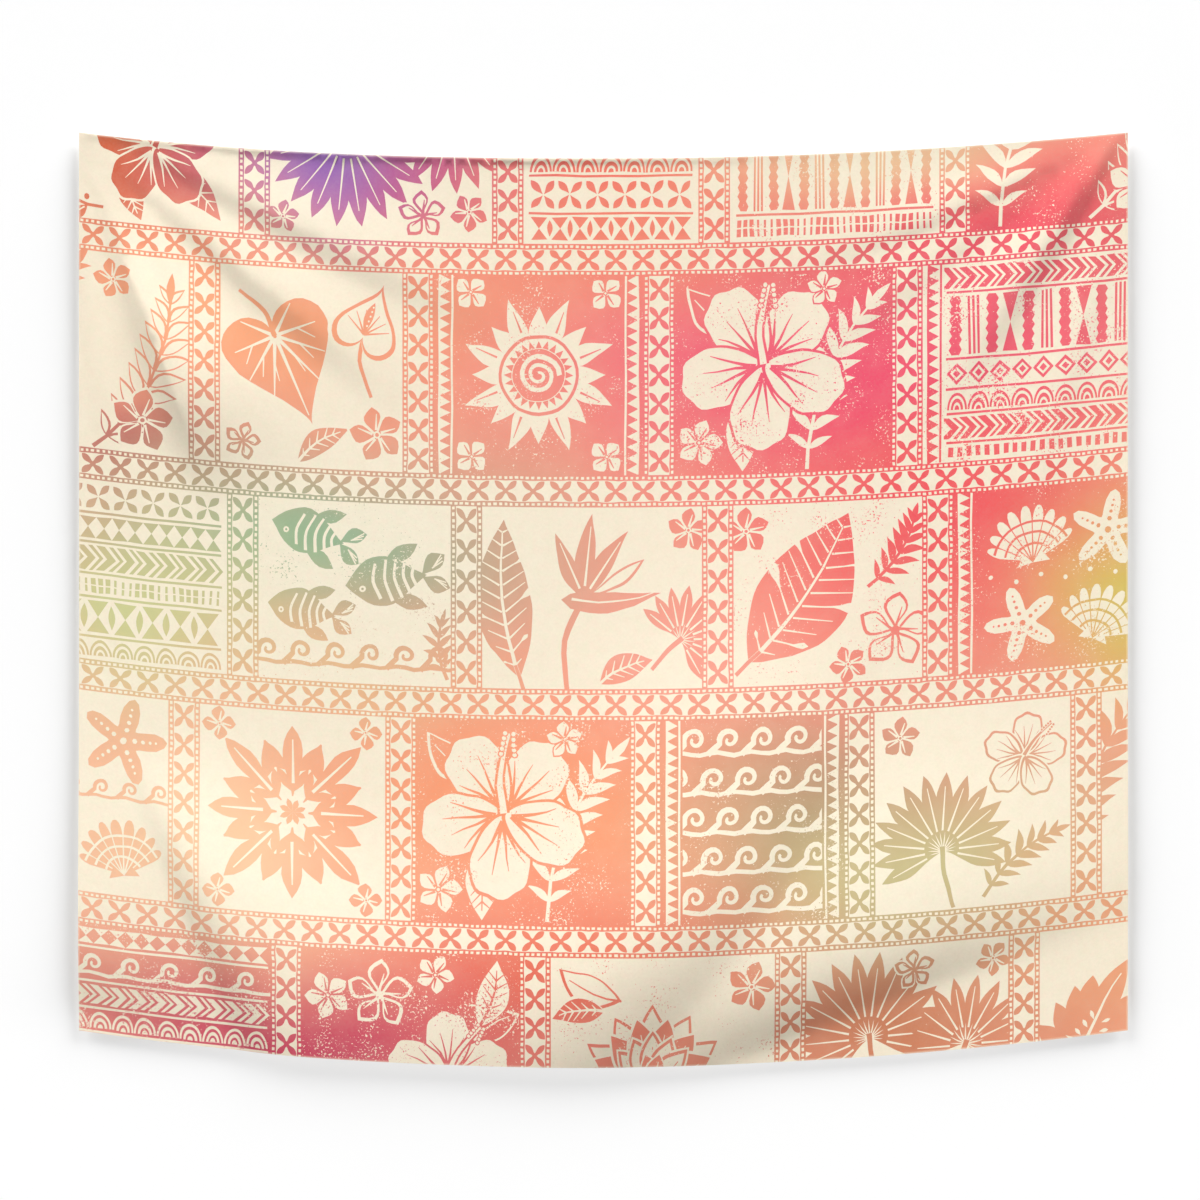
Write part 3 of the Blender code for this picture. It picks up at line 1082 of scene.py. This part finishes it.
def cloth_edge():
    """The cut edge of the flat cloth, with a point at each step of the grid."""
    across, down = round(CUT_WIDTH / GRID_STEP), round(CUT_LENGTH / GRID_STEP)
    edge = [complex(CUT_WIDTH * k / across, 0) for k in range(across)]
    edge += [complex(CUT_WIDTH, -CUT_LENGTH * k / down) for k in range(down)]
    edge += [complex(CUT_WIDTH * (1 - k / across), -CUT_LENGTH) for k in range(across)]
    return edge + [complex(0, -CUT_LENGTH * (1 - k / down)) for k in range(down)]


def split_edges(outline):
    """An outline with its long edges split, so that the cloth can curve under them."""
    points = []
    for k, start in enumerate(outline):
        end = outline[(k + 1) % len(outline)]
        pieces = max(math.ceil(abs(end - start) / LONGEST_EDGE), 1)
        points.extend(start + (end - start) * j / pieces for j in range(pieces))
    return points


def flat_mesh():
    """The places and the triangles of the flat cloth."""
    points, edges = [], []
    cloth = (0, -CUT_LENGTH, CUT_WIDTH, 0)
    loops = [cloth_edge()]
    for stamp in stamps:
        if inside_box(cloth, stamp.outline).any() or len(stamp.outline) == 4:
            loops.append(stamp.outline)
    for loop in loops:
        first = len(points)
        points.extend(split_edges(loop))
        count = len(points) - first
        edges.extend((first + k, first + (k + 1) % count) for k in range(count))
    for i in range(1, round(CUT_WIDTH / GRID_STEP)):
        for j in range(1, round(CUT_LENGTH / GRID_STEP)):
            shift = 0.25 if j % 2 else -0.25
            points.append(complex((i + shift) * GRID_STEP, -j * GRID_STEP))
        points.extend(complex(i * GRID_STEP, -down) for down in ROLL_ROWS)
    found = delaunay_2d_cdt([Vector((p.real, p.imag)) for p in points], edges, [], 0, MERGE_DISTANCE, False)
    places = np.array([complex(v.x, v.y) for v in found[0]])
    triangles = np.array(found[2])
    middles = places[triangles].mean(axis=1)
    triangles = triangles[inside_box(cloth, middles)]
    order = np.argsort(places[triangles].mean(axis=1).real)
    used, triangles = np.unique(triangles[order], return_inverse=True)
    return places[used], triangles.reshape(-1, 3)


def printed(middles):
    """Which triangles are inked: the last stamp over each one decides. They come in order from the left."""
    ink = np.zeros(len(middles))
    for stamp in stamps:
        across, up = stamp.outline.real, stamp.outline.imag
        left, low, right, high = stamp.box
        start, end = np.searchsorted(middles.real, (max(across.min(), left), min(across.max(), right)))
        near = middles[start:end]
        chosen = np.nonzero((near.imag > max(up.min(), low)) & (near.imag < min(up.max(), high)))[0]
        chosen = chosen[within(stamp.outline, near[chosen])]
        ink[start + chosen] = stamp.inked
    return ink


def wear_of(middles):
    """How worn the print is at each triangle."""
    worn = np.zeros(len(middles))
    for box, amount in worn_boxes:
        worn[inside_box(box, middles)] = amount
    return worn


OFF_BORDER = 2j  # two half widths away from any border


def border_places(corners, middles):
    """For each triangle's corners, how many crosses along its border and how many half widths across."""
    result = np.full(corners.shape, OFF_BORDER)
    for border in borders:
        here = inside_box(border.box, middles)
        run = border.end - border.start
        along = (corners[here] - border.start) / run
        half_widths = along.imag * abs(run) / (BORDER_WIDTH / 2)
        result[here] = along.real * border.crosses + 1j * half_widths
    return result


SLOPE_STEP = 1e-3


def hung_sides(places):
    """The front points of the hung cloth, then its back points, and which way the cloth faces at each."""
    across, down = places.real / CUT_WIDTH, -places.imag / CUT_LENGTH
    middle = hung_points(across, down)
    slope_across = hung_points(across + SLOPE_STEP, down) - middle
    slope_down = hung_points(across, down + SLOPE_STEP) - middle
    back = np.cross(slope_down, slope_across)
    back = back / np.linalg.norm(back, axis=1)[:, None]
    back *= np.where(back[:, 1:2] < 0, -1, 1)
    half = back * CLOTH_THICKNESS / 2
    return np.concatenate([middle - half, middle + half]), np.concatenate([-back, back])


def rim_edges(triangles):
    """The edges that only one triangle has, each in that triangle's own direction."""
    edges = np.concatenate([triangles[:, [0, 1]], triangles[:, [1, 2]], triangles[:, [2, 0]]])
    key = np.sort(edges, axis=1)
    _, inverse, count = np.unique(key, axis=0, return_inverse=True, return_counts=True)
    return edges[count[inverse.ravel()] == 1]


# How large each side of the sheet is laid out in the square for baking, and where its corner lies.
FRONT_LAYOUT = (0.98, 0.01 + 0.14j)
BACK_LAYOUT = (0.12, 0.01 + 0.01j)


def make_cloth():
    """The closed sheet: the printed front, the same triangles again as its back, and the cut edge."""
    places, triangles = flat_mesh()
    first, second, third = (places[triangles[:, k]] for k in range(3))
    clockwise = ((second - first).conjugate() * (third - first)).imag < 0
    triangles[clockwise] = triangles[clockwise][:, ::-1]
    middles = places[triangles].mean(axis=1)
    points, facing = hung_sides(places)
    count = len(places)
    rim = rim_edges(triangles)
    rim_faces = np.concatenate([
        np.stack([rim[:, 1], rim[:, 0], rim[:, 0] + count], axis=1),
        np.stack([rim[:, 1], rim[:, 0] + count, rim[:, 1] + count], axis=1),
    ])
    faces = np.concatenate([triangles, triangles[:, ::-1] + count, rim_faces])
    mesh = bpy.data.meshes.new("tapestry")
    mesh.from_pydata(points.tolist(), [], faces.tolist())

    rim_count = len(rim_faces)
    ink, worn = printed(middles), wear_of(middles)
    ones = np.ones(len(triangles))
    for name, on_front, on_back in (("ink", ink, ink), ("worn", worn, worn), ("front", ones, 0 * ones)):
        layer = mesh.attributes.new(name, "FLOAT", "FACE")
        layer.data.foreach_set("value", np.concatenate([on_front, on_back, np.zeros(rim_count)]))
    mesh.shade_smooth()
    normals = facing[faces]
    rim_corners = points[rim_faces]
    rim_out = np.cross(rim_corners[:, 1] - rim_corners[:, 0], rim_corners[:, 2] - rim_corners[:, 0])
    normals[-rim_count:] = (rim_out / np.linalg.norm(rim_out, axis=1)[:, None])[:, None]
    mesh.normals_split_custom_set(normals.reshape(-1, 3).tolist())

    corners = np.concatenate([places, places])[faces]
    on_borders = border_places(corners, corners.mean(axis=1))
    on_borders[-rim_count:] = OFF_BORDER
    baked = (corners + 1j * CUT_LENGTH) / CUT_WIDTH
    is_front = np.arange(len(faces)) < len(triangles)
    for side, (size, corner) in ((is_front, FRONT_LAYOUT), (~is_front, BACK_LAYOUT)):
        baked[side] = baked[side] * size + corner
    for name, layout in (("cloth", corners), ("border", on_borders), ("OFBake", baked)):
        layer = mesh.uv_layers.new(name=name)
        layer.data.foreach_set("uv", np.stack([layout.real, layout.imag], axis=-1).ravel())
    mesh.uv_layers["cloth"].active_render = True
    mesh.uv_layers.active = mesh.uv_layers["cloth"]
    mesh.update()
    cloth = bpy.data.objects.new("tapestry", mesh)
    bpy.context.scene.collection.objects.link(cloth)
    return cloth


cloth = make_cloth()

# The dye and the cloth. Soft inks of many colours melt into each other across the print, on cream
# cloth with a fine plain weave. The back stays pale, with the print showing faintly through.
def dye(red, green, blue):
    """A colour given in everyday 0 to 255 values, as linear light."""
    shares = (red / 255, green / 255, blue / 255)
    return tuple(s / 12.92 if s <= 0.04 else ((s + 0.055) / 1.055) ** 2.4 for s in shares) + (1,)


def add_node(tree, kind, inputs=(), **settings):
    """A node with its settings, and its inputs given as values or as sockets to link."""
    node = tree.nodes.new("ShaderNode" + kind)
    for name, value in settings.items():
        setattr(node, name, value)
    for name, value in dict(inputs).items():
        if isinstance(value, bpy.types.NodeSocket):
            tree.links.new(value, node.inputs[name])
        else:
            node.inputs[name].default_value = value
    return node


def maths_in(tree):
    """A short way to add math nodes to one node tree."""

    def op(operation, *values, clamp=False):
        return add_node(tree, "Math", enumerate(values), operation=operation, use_clamp=clamp).outputs[0]

    return op


def vector_op(tree, operation, first, second):
    """A vector maths node."""
    return add_node(tree, "VectorMath", {0: first, 1: second}, operation=operation)


def mix_colours(tree, factor, first, second, blend="MIX"):
    """Two colours mixed, with `factor` as the share of the second one."""
    inputs = {0: factor, 6: first, 7: second}
    return add_node(tree, "Mix", inputs, data_type="RGBA", blend_type=blend).outputs[2]


def new_group(name, inputs, outputs):
    """An empty node group with named inputs and outputs, and its two end nodes."""
    tree = bpy.data.node_groups.new(name, "ShaderNodeTree")
    for socket_name, kind in inputs.items():
        tree.interface.new_socket(socket_name, in_out="INPUT", socket_type="NodeSocket" + kind)
    for socket_name, kind in outputs.items():
        tree.interface.new_socket(socket_name, in_out="OUTPUT", socket_type="NodeSocket" + kind)
    return tree, tree.nodes.new("NodeGroupInput"), tree.nodes.new("NodeGroupOutput")


def dye_patch_group():
    """A soft-edged patch of dye laid into the colour that is already there."""
    inputs = {"Place": "Vector", "Colour": "Color", "Dye": "Color", "Middle": "Vector", "Reach": "Vector",
              "Strength": "Float"}
    tree, start, end = new_group("dye_patch", inputs, {"Colour": "Color"})
    away = vector_op(tree, "SUBTRACT", start.outputs["Place"], start.outputs["Middle"]).outputs[0]
    away = vector_op(tree, "DIVIDE", away, start.outputs["Reach"]).outputs[0]
    squared = vector_op(tree, "DOT_PRODUCT", away, away).outputs["Value"]
    op = maths_in(tree)
    fade = op("MULTIPLY", op("POWER", math.exp(-1), squared), start.outputs["Strength"])
    mixed = mix_colours(tree, fade, start.outputs["Colour"], start.outputs["Dye"])
    tree.links.new(mixed, end.inputs["Colour"])
    return tree


RAIL_WIDTH = 0.0078
BEAD_WIDTH, BEAD_SHARE, BEADS_TO_A_CROSS = 0.0036, 0.56, 5
PETAL_ACROSS, PETAL_UP, PETAL_WIDTH = 0.0158, 0.0141, 0.0088
PETAL_LEAN, PETAL_BLUNTNESS, UNEVEN_SHARE = 1.3, 0.75, 0.40
WAIST_WIDTH, WAIST_REACH = 0.0048, 0.45
OUTER_LIMIT = 1.05


def border_group():
    """The ink of a border: beaded rails and four-petal crosses."""
    inputs = {"Crosses along": "Float", "Half widths across": "Float", "Fullness": "Float"}
    tree, start, end = new_group("border_print", inputs, {"Ink": "Float"})
    along, across = start.outputs["Crosses along"], start.outputs["Half widths across"]
    op = maths_in(tree)
    half = BORDER_WIDTH / 2
    off_middle = op("MULTIPLY", op("ABSOLUTE", across), half)
    rail = op("GREATER_THAN", off_middle, half - RAIL_WIDTH)
    off_rail = op("ABSOLUTE", op("SUBTRACT", off_middle, half - RAIL_WIDTH / 2))
    bead = op("ABSOLUTE", op("SUBTRACT", op("FRACT", op("MULTIPLY", along, BEADS_TO_A_CROSS)), 0.5))
    bead = op("LESS_THAN", bead, op("MULTIPLY", start.outputs["Fullness"], BEAD_SHARE / 2))
    bead = op("MULTIPLY", bead, op("LESS_THAN", off_rail, BEAD_WIDTH / 2))
    rails = op("SUBTRACT", rail, bead)

    # One petal, from the middle of a cross outwards: how far along it and how far beside it each place is.
    length = math.hypot(PETAL_ACROSS, PETAL_UP)
    off_cross = op("MULTIPLY", op("ABSOLUTE", op("SUBTRACT", op("FRACT", along), 0.5)), CROSS_PITCH)
    out = op("MULTIPLY", off_cross, PETAL_ACROSS / length**2)
    out = op("MULTIPLY_ADD", off_middle, PETAL_UP / length**2, out)
    aside = op("MULTIPLY", off_middle, PETAL_ACROSS / length)
    aside = op("SUBTRACT", op("MULTIPLY", off_cross, PETAL_UP / length), aside)
    curve = op("SINE", op("MULTIPLY", op("POWER", op("ADD", out, 0, clamp=True), PETAL_LEAN), math.pi))
    full = op("MULTIPLY_ADD", start.outputs["Fullness"], UNEVEN_SHARE, 1 - UNEVEN_SHARE)
    full = op("MULTIPLY", full, PETAL_WIDTH / 2)
    width = op("MULTIPLY", op("POWER", op("ADD", curve, 0, clamp=True), PETAL_BLUNTNESS), full)
    waist = op("MULTIPLY", op("LESS_THAN", out, WAIST_REACH), WAIST_WIDTH / 2)
    petals = op("LESS_THAN", op("ABSOLUTE", aside), op("MAXIMUM", width, waist))

    on_border = op("LESS_THAN", off_middle, half * OUTER_LIMIT)
    ink = op("MULTIPLY", op("MAXIMUM", rails, petals), on_border)
    tree.links.new(ink, end.inputs["Ink"])
    return tree


# Each patch of dye: where its middle is, across and down the flat cloth, how far it reaches, and how
# strongly it covers what lies under it.
Patch = namedtuple("Patch", "across down reach_across reach_down strength colour")
BASE_INK = dye(250, 160, 135)
DYE_PATCHES = {
    "peach upper left": Patch(0.30, 0.24, 0.42, 0.15, 0.9, dye(250, 170, 120)),
    # The darker, browner orange of this corner patch is partly the ink's own colour and partly painted shade
    # of the folds at the pinned upper left corner.
    "orange corner and painted shade": Patch(0.02, 0.03, 0.20, 0.12, 1.0, dye(214, 98, 54)),
    "crimson top left": Patch(0.17, 0.03, 0.08, 0.06, 0.9, dye(196, 80, 92)),
    "coral top": Patch(0.72, 0.10, 0.34, 0.10, 0.8, dye(250, 130, 100)),
    "red top": Patch(0.76, 0.00, 0.24, 0.06, 0.8, dye(248, 98, 82)),
    "plum top": Patch(0.50, 0.04, 0.13, 0.09, 0.9, dye(200, 85, 135)),
    "violet top": Patch(0.36, 0.00, 0.13, 0.11, 1.0, dye(150, 100, 180)),
    "rose right": Patch(1.34, 0.14, 0.34, 0.14, 1.0, dye(234, 80, 92)),
    "gold top right": Patch(1.18, -0.01, 0.26, 0.06, 0.8, dye(240, 208, 158)),
    "hot pink": Patch(1.16, 0.31, 0.48, 0.13, 1.0, dye(246, 78, 120)),
    "coral right": Patch(1.26, 0.50, 0.30, 0.22, 1.0, dye(246, 84, 92)),
    "peach middle": Patch(0.86, 0.70, 0.16, 0.12, 0.7, dye(252, 165, 150)),
    "yellow right": Patch(1.52, 0.68, 0.12, 0.13, 1.0, dye(220, 195, 95)),
    "red left": Patch(0.05, 0.43, 0.15, 0.07, 1.0, dye(205, 100, 95)),
    "sage": Patch(0.32, 0.56, 0.34, 0.12, 1.0, dye(145, 180, 145)),
    "lime left": Patch(0.08, 0.68, 0.20, 0.14, 1.0, dye(205, 210, 145)),
    "straw": Patch(0.40, 0.75, 0.18, 0.08, 0.7, dye(225, 200, 145)),
    "peach lower left": Patch(0.18, 1.00, 0.36, 0.22, 1.0, dye(247, 200, 158)),
    "orange middle": Patch(0.66, 0.92, 0.28, 0.14, 0.9, dye(252, 150, 100)),
    "taupe": Patch(1.10, 0.94, 0.22, 0.15, 0.9, dye(178, 140, 112)),
    "olive": Patch(1.24, 1.04, 0.32, 0.15, 1.0, dye(200, 188, 135)),
    "light orange right": Patch(1.50, 1.16, 0.14, 0.16, 0.9, dye(248, 170, 125)),
    "coral bottom": Patch(0.68, 1.18, 0.26, 0.12, 1.0, dye(238, 115, 85)),
    "rust bottom right": Patch(1.20, 1.26, 0.24, 0.10, 0.9, dye(205, 125, 85)),
    "magenta bottom": Patch(0.30, 1.27, 0.34, 0.11, 1.0, dye(212, 70, 98)),
}
CREAMS = (dye(252, 243, 219), dye(250, 238, 213))
GROUND_TINTS = ((62.0, dye(238, 237, 203)), (85.0, dye(255, 229, 208)))
TINT_STRENGTH, INK_IN_GROUND, GRAIN = 0.42, 0.09, 0.13
BACK_COLOUR, BACK_COVER = dye(244, 238, 226), 0.14
PALE_EDGE, EDGE_COVER = 0.0030, 0.45
INK_WANDER, CROSS_SWAY, BORDER_SWAY = 0.16, 0.10, 0.14
LEAST_WEAR = 0.05
BARE_LEVEL, BARE_CLUSTERS, BARE_BY_WEAR = 0.42, 0.55, 0.05
ROUGHNESS, ROUGHNESS_BY_GRAIN, ROUGHNESS_BY_INK = 0.72, 0.14, 0.05
SHEEN, SHEEN_ROUGHNESS, SHINE = 0.12, 0.5, 0.3
THREAD_PITCH, WEAVE_RELIEF = 0.0009, 0.00012


def cloth_material():
    """The printed cloth: its inks, the print, the wear, the cream ground and the weave."""
    material = bpy.data.materials.new("printed_cloth")
    material.use_nodes = True
    tree = material.node_tree
    shader = tree.nodes["Principled BSDF"]
    place = add_node(tree, "UVMap", uv_map="cloth").outputs["UV"]
    op = maths_in(tree)

    def noise(scale, detail=2.0, roughness=0.5):
        """Noise on the flat cloth, its grain about 1 / scale metres."""
        inputs = {"Vector": place, "Scale": scale, "Detail": detail, "Roughness": roughness}
        return add_node(tree, "TexNoise", inputs)

    # The inks, whose borders wander a little.
    wander = vector_op(tree, "SUBTRACT", noise(3.0).outputs["Color"], (0.5, 0.5, 0.5)).outputs[0]
    wander = vector_op(tree, "MULTIPLY", wander, (INK_WANDER, INK_WANDER, INK_WANDER)).outputs[0]
    wandering = vector_op(tree, "ADD", place, wander).outputs[0]
    patch_group = dye_patch_group()
    ink_colour = BASE_INK
    for patch in DYE_PATCHES.values():
        inputs = {
            "Place": wandering,
            "Colour": ink_colour,
            "Dye": patch.colour,
            "Middle": (patch.across, -patch.down, 0),
            "Reach": (patch.reach_across, patch.reach_down, 1),
            "Strength": patch.strength,
        }
        ink_colour = add_node(tree, "Group", inputs, node_tree=patch_group).outputs["Colour"]

    # The print: the cut blocks, and the borders with the unevenness of a hand that drew them.
    uneven = add_node(tree, "SeparateXYZ", {0: noise(45.0, 1.0).outputs["Color"]})
    on_border = add_node(tree, "SeparateXYZ", {0: add_node(tree, "UVMap", uv_map="border").outputs["UV"]})
    inputs = {"Fullness": op("MULTIPLY_ADD", uneven.outputs[2], 0.9, 0.55)}
    swayed = (("Crosses along", CROSS_SWAY), ("Half widths across", BORDER_SWAY))
    for k, (socket, sway) in enumerate(swayed):
        shift = op("MULTIPLY_ADD", uneven.outputs[k], sway, -sway / 2)
        inputs[socket] = op("ADD", on_border.outputs[k], shift)
    border = add_node(tree, "Group", inputs, node_tree=border_group())
    ink = add_node(tree, "Attribute", attribute_name="ink").outputs["Fac"]
    ink = op("MAXIMUM", ink, border.outputs["Ink"])

    # Specks, where the block was worn.
    wear = add_node(tree, "Attribute", attribute_name="worn").outputs["Fac"]
    front = add_node(tree, "Attribute", attribute_name="front").outputs["Fac"]
    speck = noise(300.0, 3.0, 0.6).outputs["Fac"]
    cluster = noise(16.0, 3.0, 0.6).outputs["Fac"]
    level = op("MULTIPLY_ADD", cluster, BARE_CLUSTERS, BARE_LEVEL)
    level = op("MULTIPLY_ADD", wear, -BARE_BY_WEAR, level)
    bare = op("MULTIPLY", op("GREATER_THAN", speck, level), op("GREATER_THAN", wear, LEAST_WEAR))
    flipped = op("MULTIPLY_ADD", ink, -2.0, 1.0)
    ink = op("MULTIPLY_ADD", bare, flipped, ink, clamp=True)

    # The ink is taken up unevenly, is paler along the cut edge and only shows through on the back. The
    # ground holds a breath of the ink round it.
    mottle = noise(240.0, 4.0, 0.65).outputs["Fac"]
    blotch = noise(30.0, 3.0).outputs["Fac"]
    cover = op("MULTIPLY_ADD", mottle, 0.16, 0.90, clamp=True)
    cover = op("MULTIPLY", cover, op("MULTIPLY_ADD", blotch, 0.16, 0.91, clamp=True))
    cover = op("MULTIPLY", ink, cover)
    cover = op("MULTIPLY", cover, op("MULTIPLY_ADD", front, 1 - BACK_COVER, BACK_COVER))
    separate = add_node(tree, "SeparateXYZ", {0: place})
    to_side = op("MINIMUM", separate.outputs[0], op("SUBTRACT", CUT_WIDTH, separate.outputs[0]))
    to_end = op("MINIMUM", op("ABSOLUTE", separate.outputs[1]), op("ADD", separate.outputs[1], CUT_LENGTH))
    to_edge = op("DIVIDE", op("MINIMUM", to_side, to_end), PALE_EDGE, clamp=True)
    cover = op("MULTIPLY", cover, op("MULTIPLY_ADD", to_edge, 1 - EDGE_COVER, EDGE_COVER))
    ground = mix_colours(tree, noise(1.6, 1.0).outputs["Fac"], *CREAMS)
    for scale, tint in GROUND_TINTS:
        amount = op("MULTIPLY_ADD", noise(scale, 4.0, 0.6).outputs["Fac"], 2.4, -1.05, clamp=True)
        ground = mix_colours(tree, op("MULTIPLY", amount, TINT_STRENGTH), ground, tint)
    ground = mix_colours(tree, op("MULTIPLY", blotch, INK_IN_GROUND), ground, ink_colour)
    plain = mix_colours(tree, front, BACK_COLOUR, ground)
    colour = mix_colours(tree, cover, plain, ink_colour)
    grain = op("MULTIPLY_ADD", mottle, GRAIN, 1 - GRAIN / 2)
    colour = mix_colours(tree, 1.0, colour, grain, blend="MULTIPLY")
    tree.links.new(colour, shader.inputs["Base Color"])

    # The plain weave and a soft grain as bump, and a roughness that follows the grain and the ink.
    warp = op("SINE", op("MULTIPLY", separate.outputs[0], 2 * math.pi / THREAD_PITCH))
    weft = op("SINE", op("MULTIPLY", separate.outputs[1], 2 * math.pi / THREAD_PITCH))
    height = op("MULTIPLY_ADD", mottle, 3.0, op("MULTIPLY", warp, weft))
    bump = add_node(tree, "Bump", {"Height": height, "Strength": 0.5, "Distance": WEAVE_RELIEF})
    tree.links.new(bump.outputs["Normal"], shader.inputs["Normal"])
    roughness = op("MULTIPLY_ADD", mottle, ROUGHNESS_BY_GRAIN, ROUGHNESS)
    roughness = op("MULTIPLY_ADD", ink, -ROUGHNESS_BY_INK, roughness)
    tree.links.new(roughness, shader.inputs["Roughness"])
    shader.inputs["Specular IOR Level"].default_value = SHINE
    shader.inputs["Sheen Weight"].default_value = SHEEN
    shader.inputs["Sheen Roughness"].default_value = SHEEN_ROUGHNESS
    return material


cloth.data.materials.append(cloth_material())

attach(cloth, "root")
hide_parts("tapestry_cloth")

# ---------------------------------------------------------------------------------------------------
# The stage. A white wall just behind the cloth and a pale floor below it, there to be seen only. Two
# broad soft lights stand high on the left and on the right, a third one lights the back of the cloth,
# and weak white light fills all round.
# ---------------------------------------------------------------------------------------------------
WALL_GAP = 0.014
WALL_GLOW, WALL_GLOW_BELOW = 0.0, 0.72
GLOW_FROM, GLOW_TO = -1.20, -1.30
FLOOR_DROP, FLOOR_GREY = 1.62, 0.82
STAGE_REACH = 6.0
AMBIENT = 0.10
KEY_STRENGTH, KEY_SPREAD = 3.90, 40.0
KEY_FROM = (0.56, -0.36, 0.745)
BEHIND_FROM, BEHIND_STRENGTH = (0.25, 0.85, 0.46), 2.4

scene = bpy.context.scene
scene.view_settings.view_transform = "Standard"


def make_world():
    """White all round to look at, and a weaker white as light."""
    world = bpy.data.worlds.new("studio")
    world.use_nodes = True
    tree = world.node_tree
    background = tree.nodes["Background"]
    background.inputs["Color"].default_value = (1, 1, 1, 1)
    seen = add_node(tree, "LightPath").outputs["Is Camera Ray"]
    strength = maths_in(tree)("MULTIPLY_ADD", seen, 1 - AMBIENT, AMBIENT)
    tree.links.new(strength, background.inputs["Strength"])
    return world


def make_light(name, direction, strength):
    """A soft light, even over the whole cloth."""
    data = bpy.data.lights.new(name, "SUN")
    data.energy = strength
    data.angle = math.radians(KEY_SPREAD)
    light = bpy.data.objects.new(name, data)
    scene.collection.objects.link(light)
    light.location = direction * STAGE_REACH
    light.rotation_euler = (-direction).to_track_quat("-Z", "Y").to_euler()


def stage_plane(name, corners, grey, glow, glow_below):
    """A matt plane, seen from its front only, which neither blocks nor throws back light. Its glow, which
    turns into another one low down, stands in for part of the light on it and keeps its shadows pale."""
    material = bpy.data.materials.new(name)
    material.use_nodes = True
    tree = material.node_tree
    paint = tree.nodes["Principled BSDF"]
    place = add_node(tree, "NewGeometry").outputs["Position"]
    height = add_node(tree, "SeparateXYZ", {0: place}).outputs[2]
    reach = {0: height, 1: GLOW_FROM, 2: GLOW_TO, 3: glow, 4: glow_below}
    share = add_node(tree, "MapRange", reach, interpolation_type="SMOOTHSTEP").outputs[0]
    op = maths_in(tree)
    tree.links.new(op("MULTIPLY", op("SUBTRACT", 1.0, share), grey), paint.inputs["Base Color"])
    tree.links.new(share, paint.inputs["Emission Strength"])
    paint.inputs["Emission Color"].default_value = (grey, grey, grey, 1)
    paint.inputs["Roughness"].default_value = 0.9
    paint.inputs["Specular IOR Level"].default_value = 0.2
    behind = add_node(tree, "NewGeometry").outputs["Backfacing"]
    seen = add_node(tree, "LightPath").outputs["Is Camera Ray"]
    shows = op("MULTIPLY", seen, op("SUBTRACT", 1.0, behind))
    clear = add_node(tree, "BsdfTransparent")
    mixed = add_node(tree, "MixShader", {0: shows, 1: clear.outputs[0], 2: paint.outputs[0]})
    tree.links.new(mixed.outputs[0], tree.nodes["Material Output"].inputs["Surface"])
    mesh = bpy.data.meshes.new(name)
    mesh.from_pydata(corners, [], [(0, 1, 2, 3)])
    mesh.materials.append(material)
    plane = bpy.data.objects.new(name, mesh)
    scene.collection.objects.link(plane)
    plane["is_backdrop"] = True


scene.world = make_world()
make_light("key right", Vector(KEY_FROM), KEY_STRENGTH)
make_light("key left", Vector((-KEY_FROM[0], *KEY_FROM[1:])), KEY_STRENGTH)
make_light("behind", Vector(BEHIND_FROM), BEHIND_STRENGTH)
wall_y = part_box("tapestry_cloth")[1][1] + WALL_GAP
SQUARE = ((-1, -1), (1, -1), (1, 1), (-1, 1))
wall_corners = [(x * STAGE_REACH, wall_y, STAGE_REACH / 2 if z > 0 else -FLOOR_DROP) for x, z in SQUARE]
stage_plane("wall", wall_corners, 1.0, WALL_GLOW, WALL_GLOW_BELOW)
floor_corners = [(x * STAGE_REACH, y * STAGE_REACH, -FLOOR_DROP) for x, y in SQUARE]
stage_plane("floor", floor_corners, FLOOR_GREY, 0.0, 0.0)

visual_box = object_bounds()
sizes = {"cad": cad_box, "visual": visual_box}
{name: [[float(v) for v in corner] for corner in box] for name, box in sizes.items()}
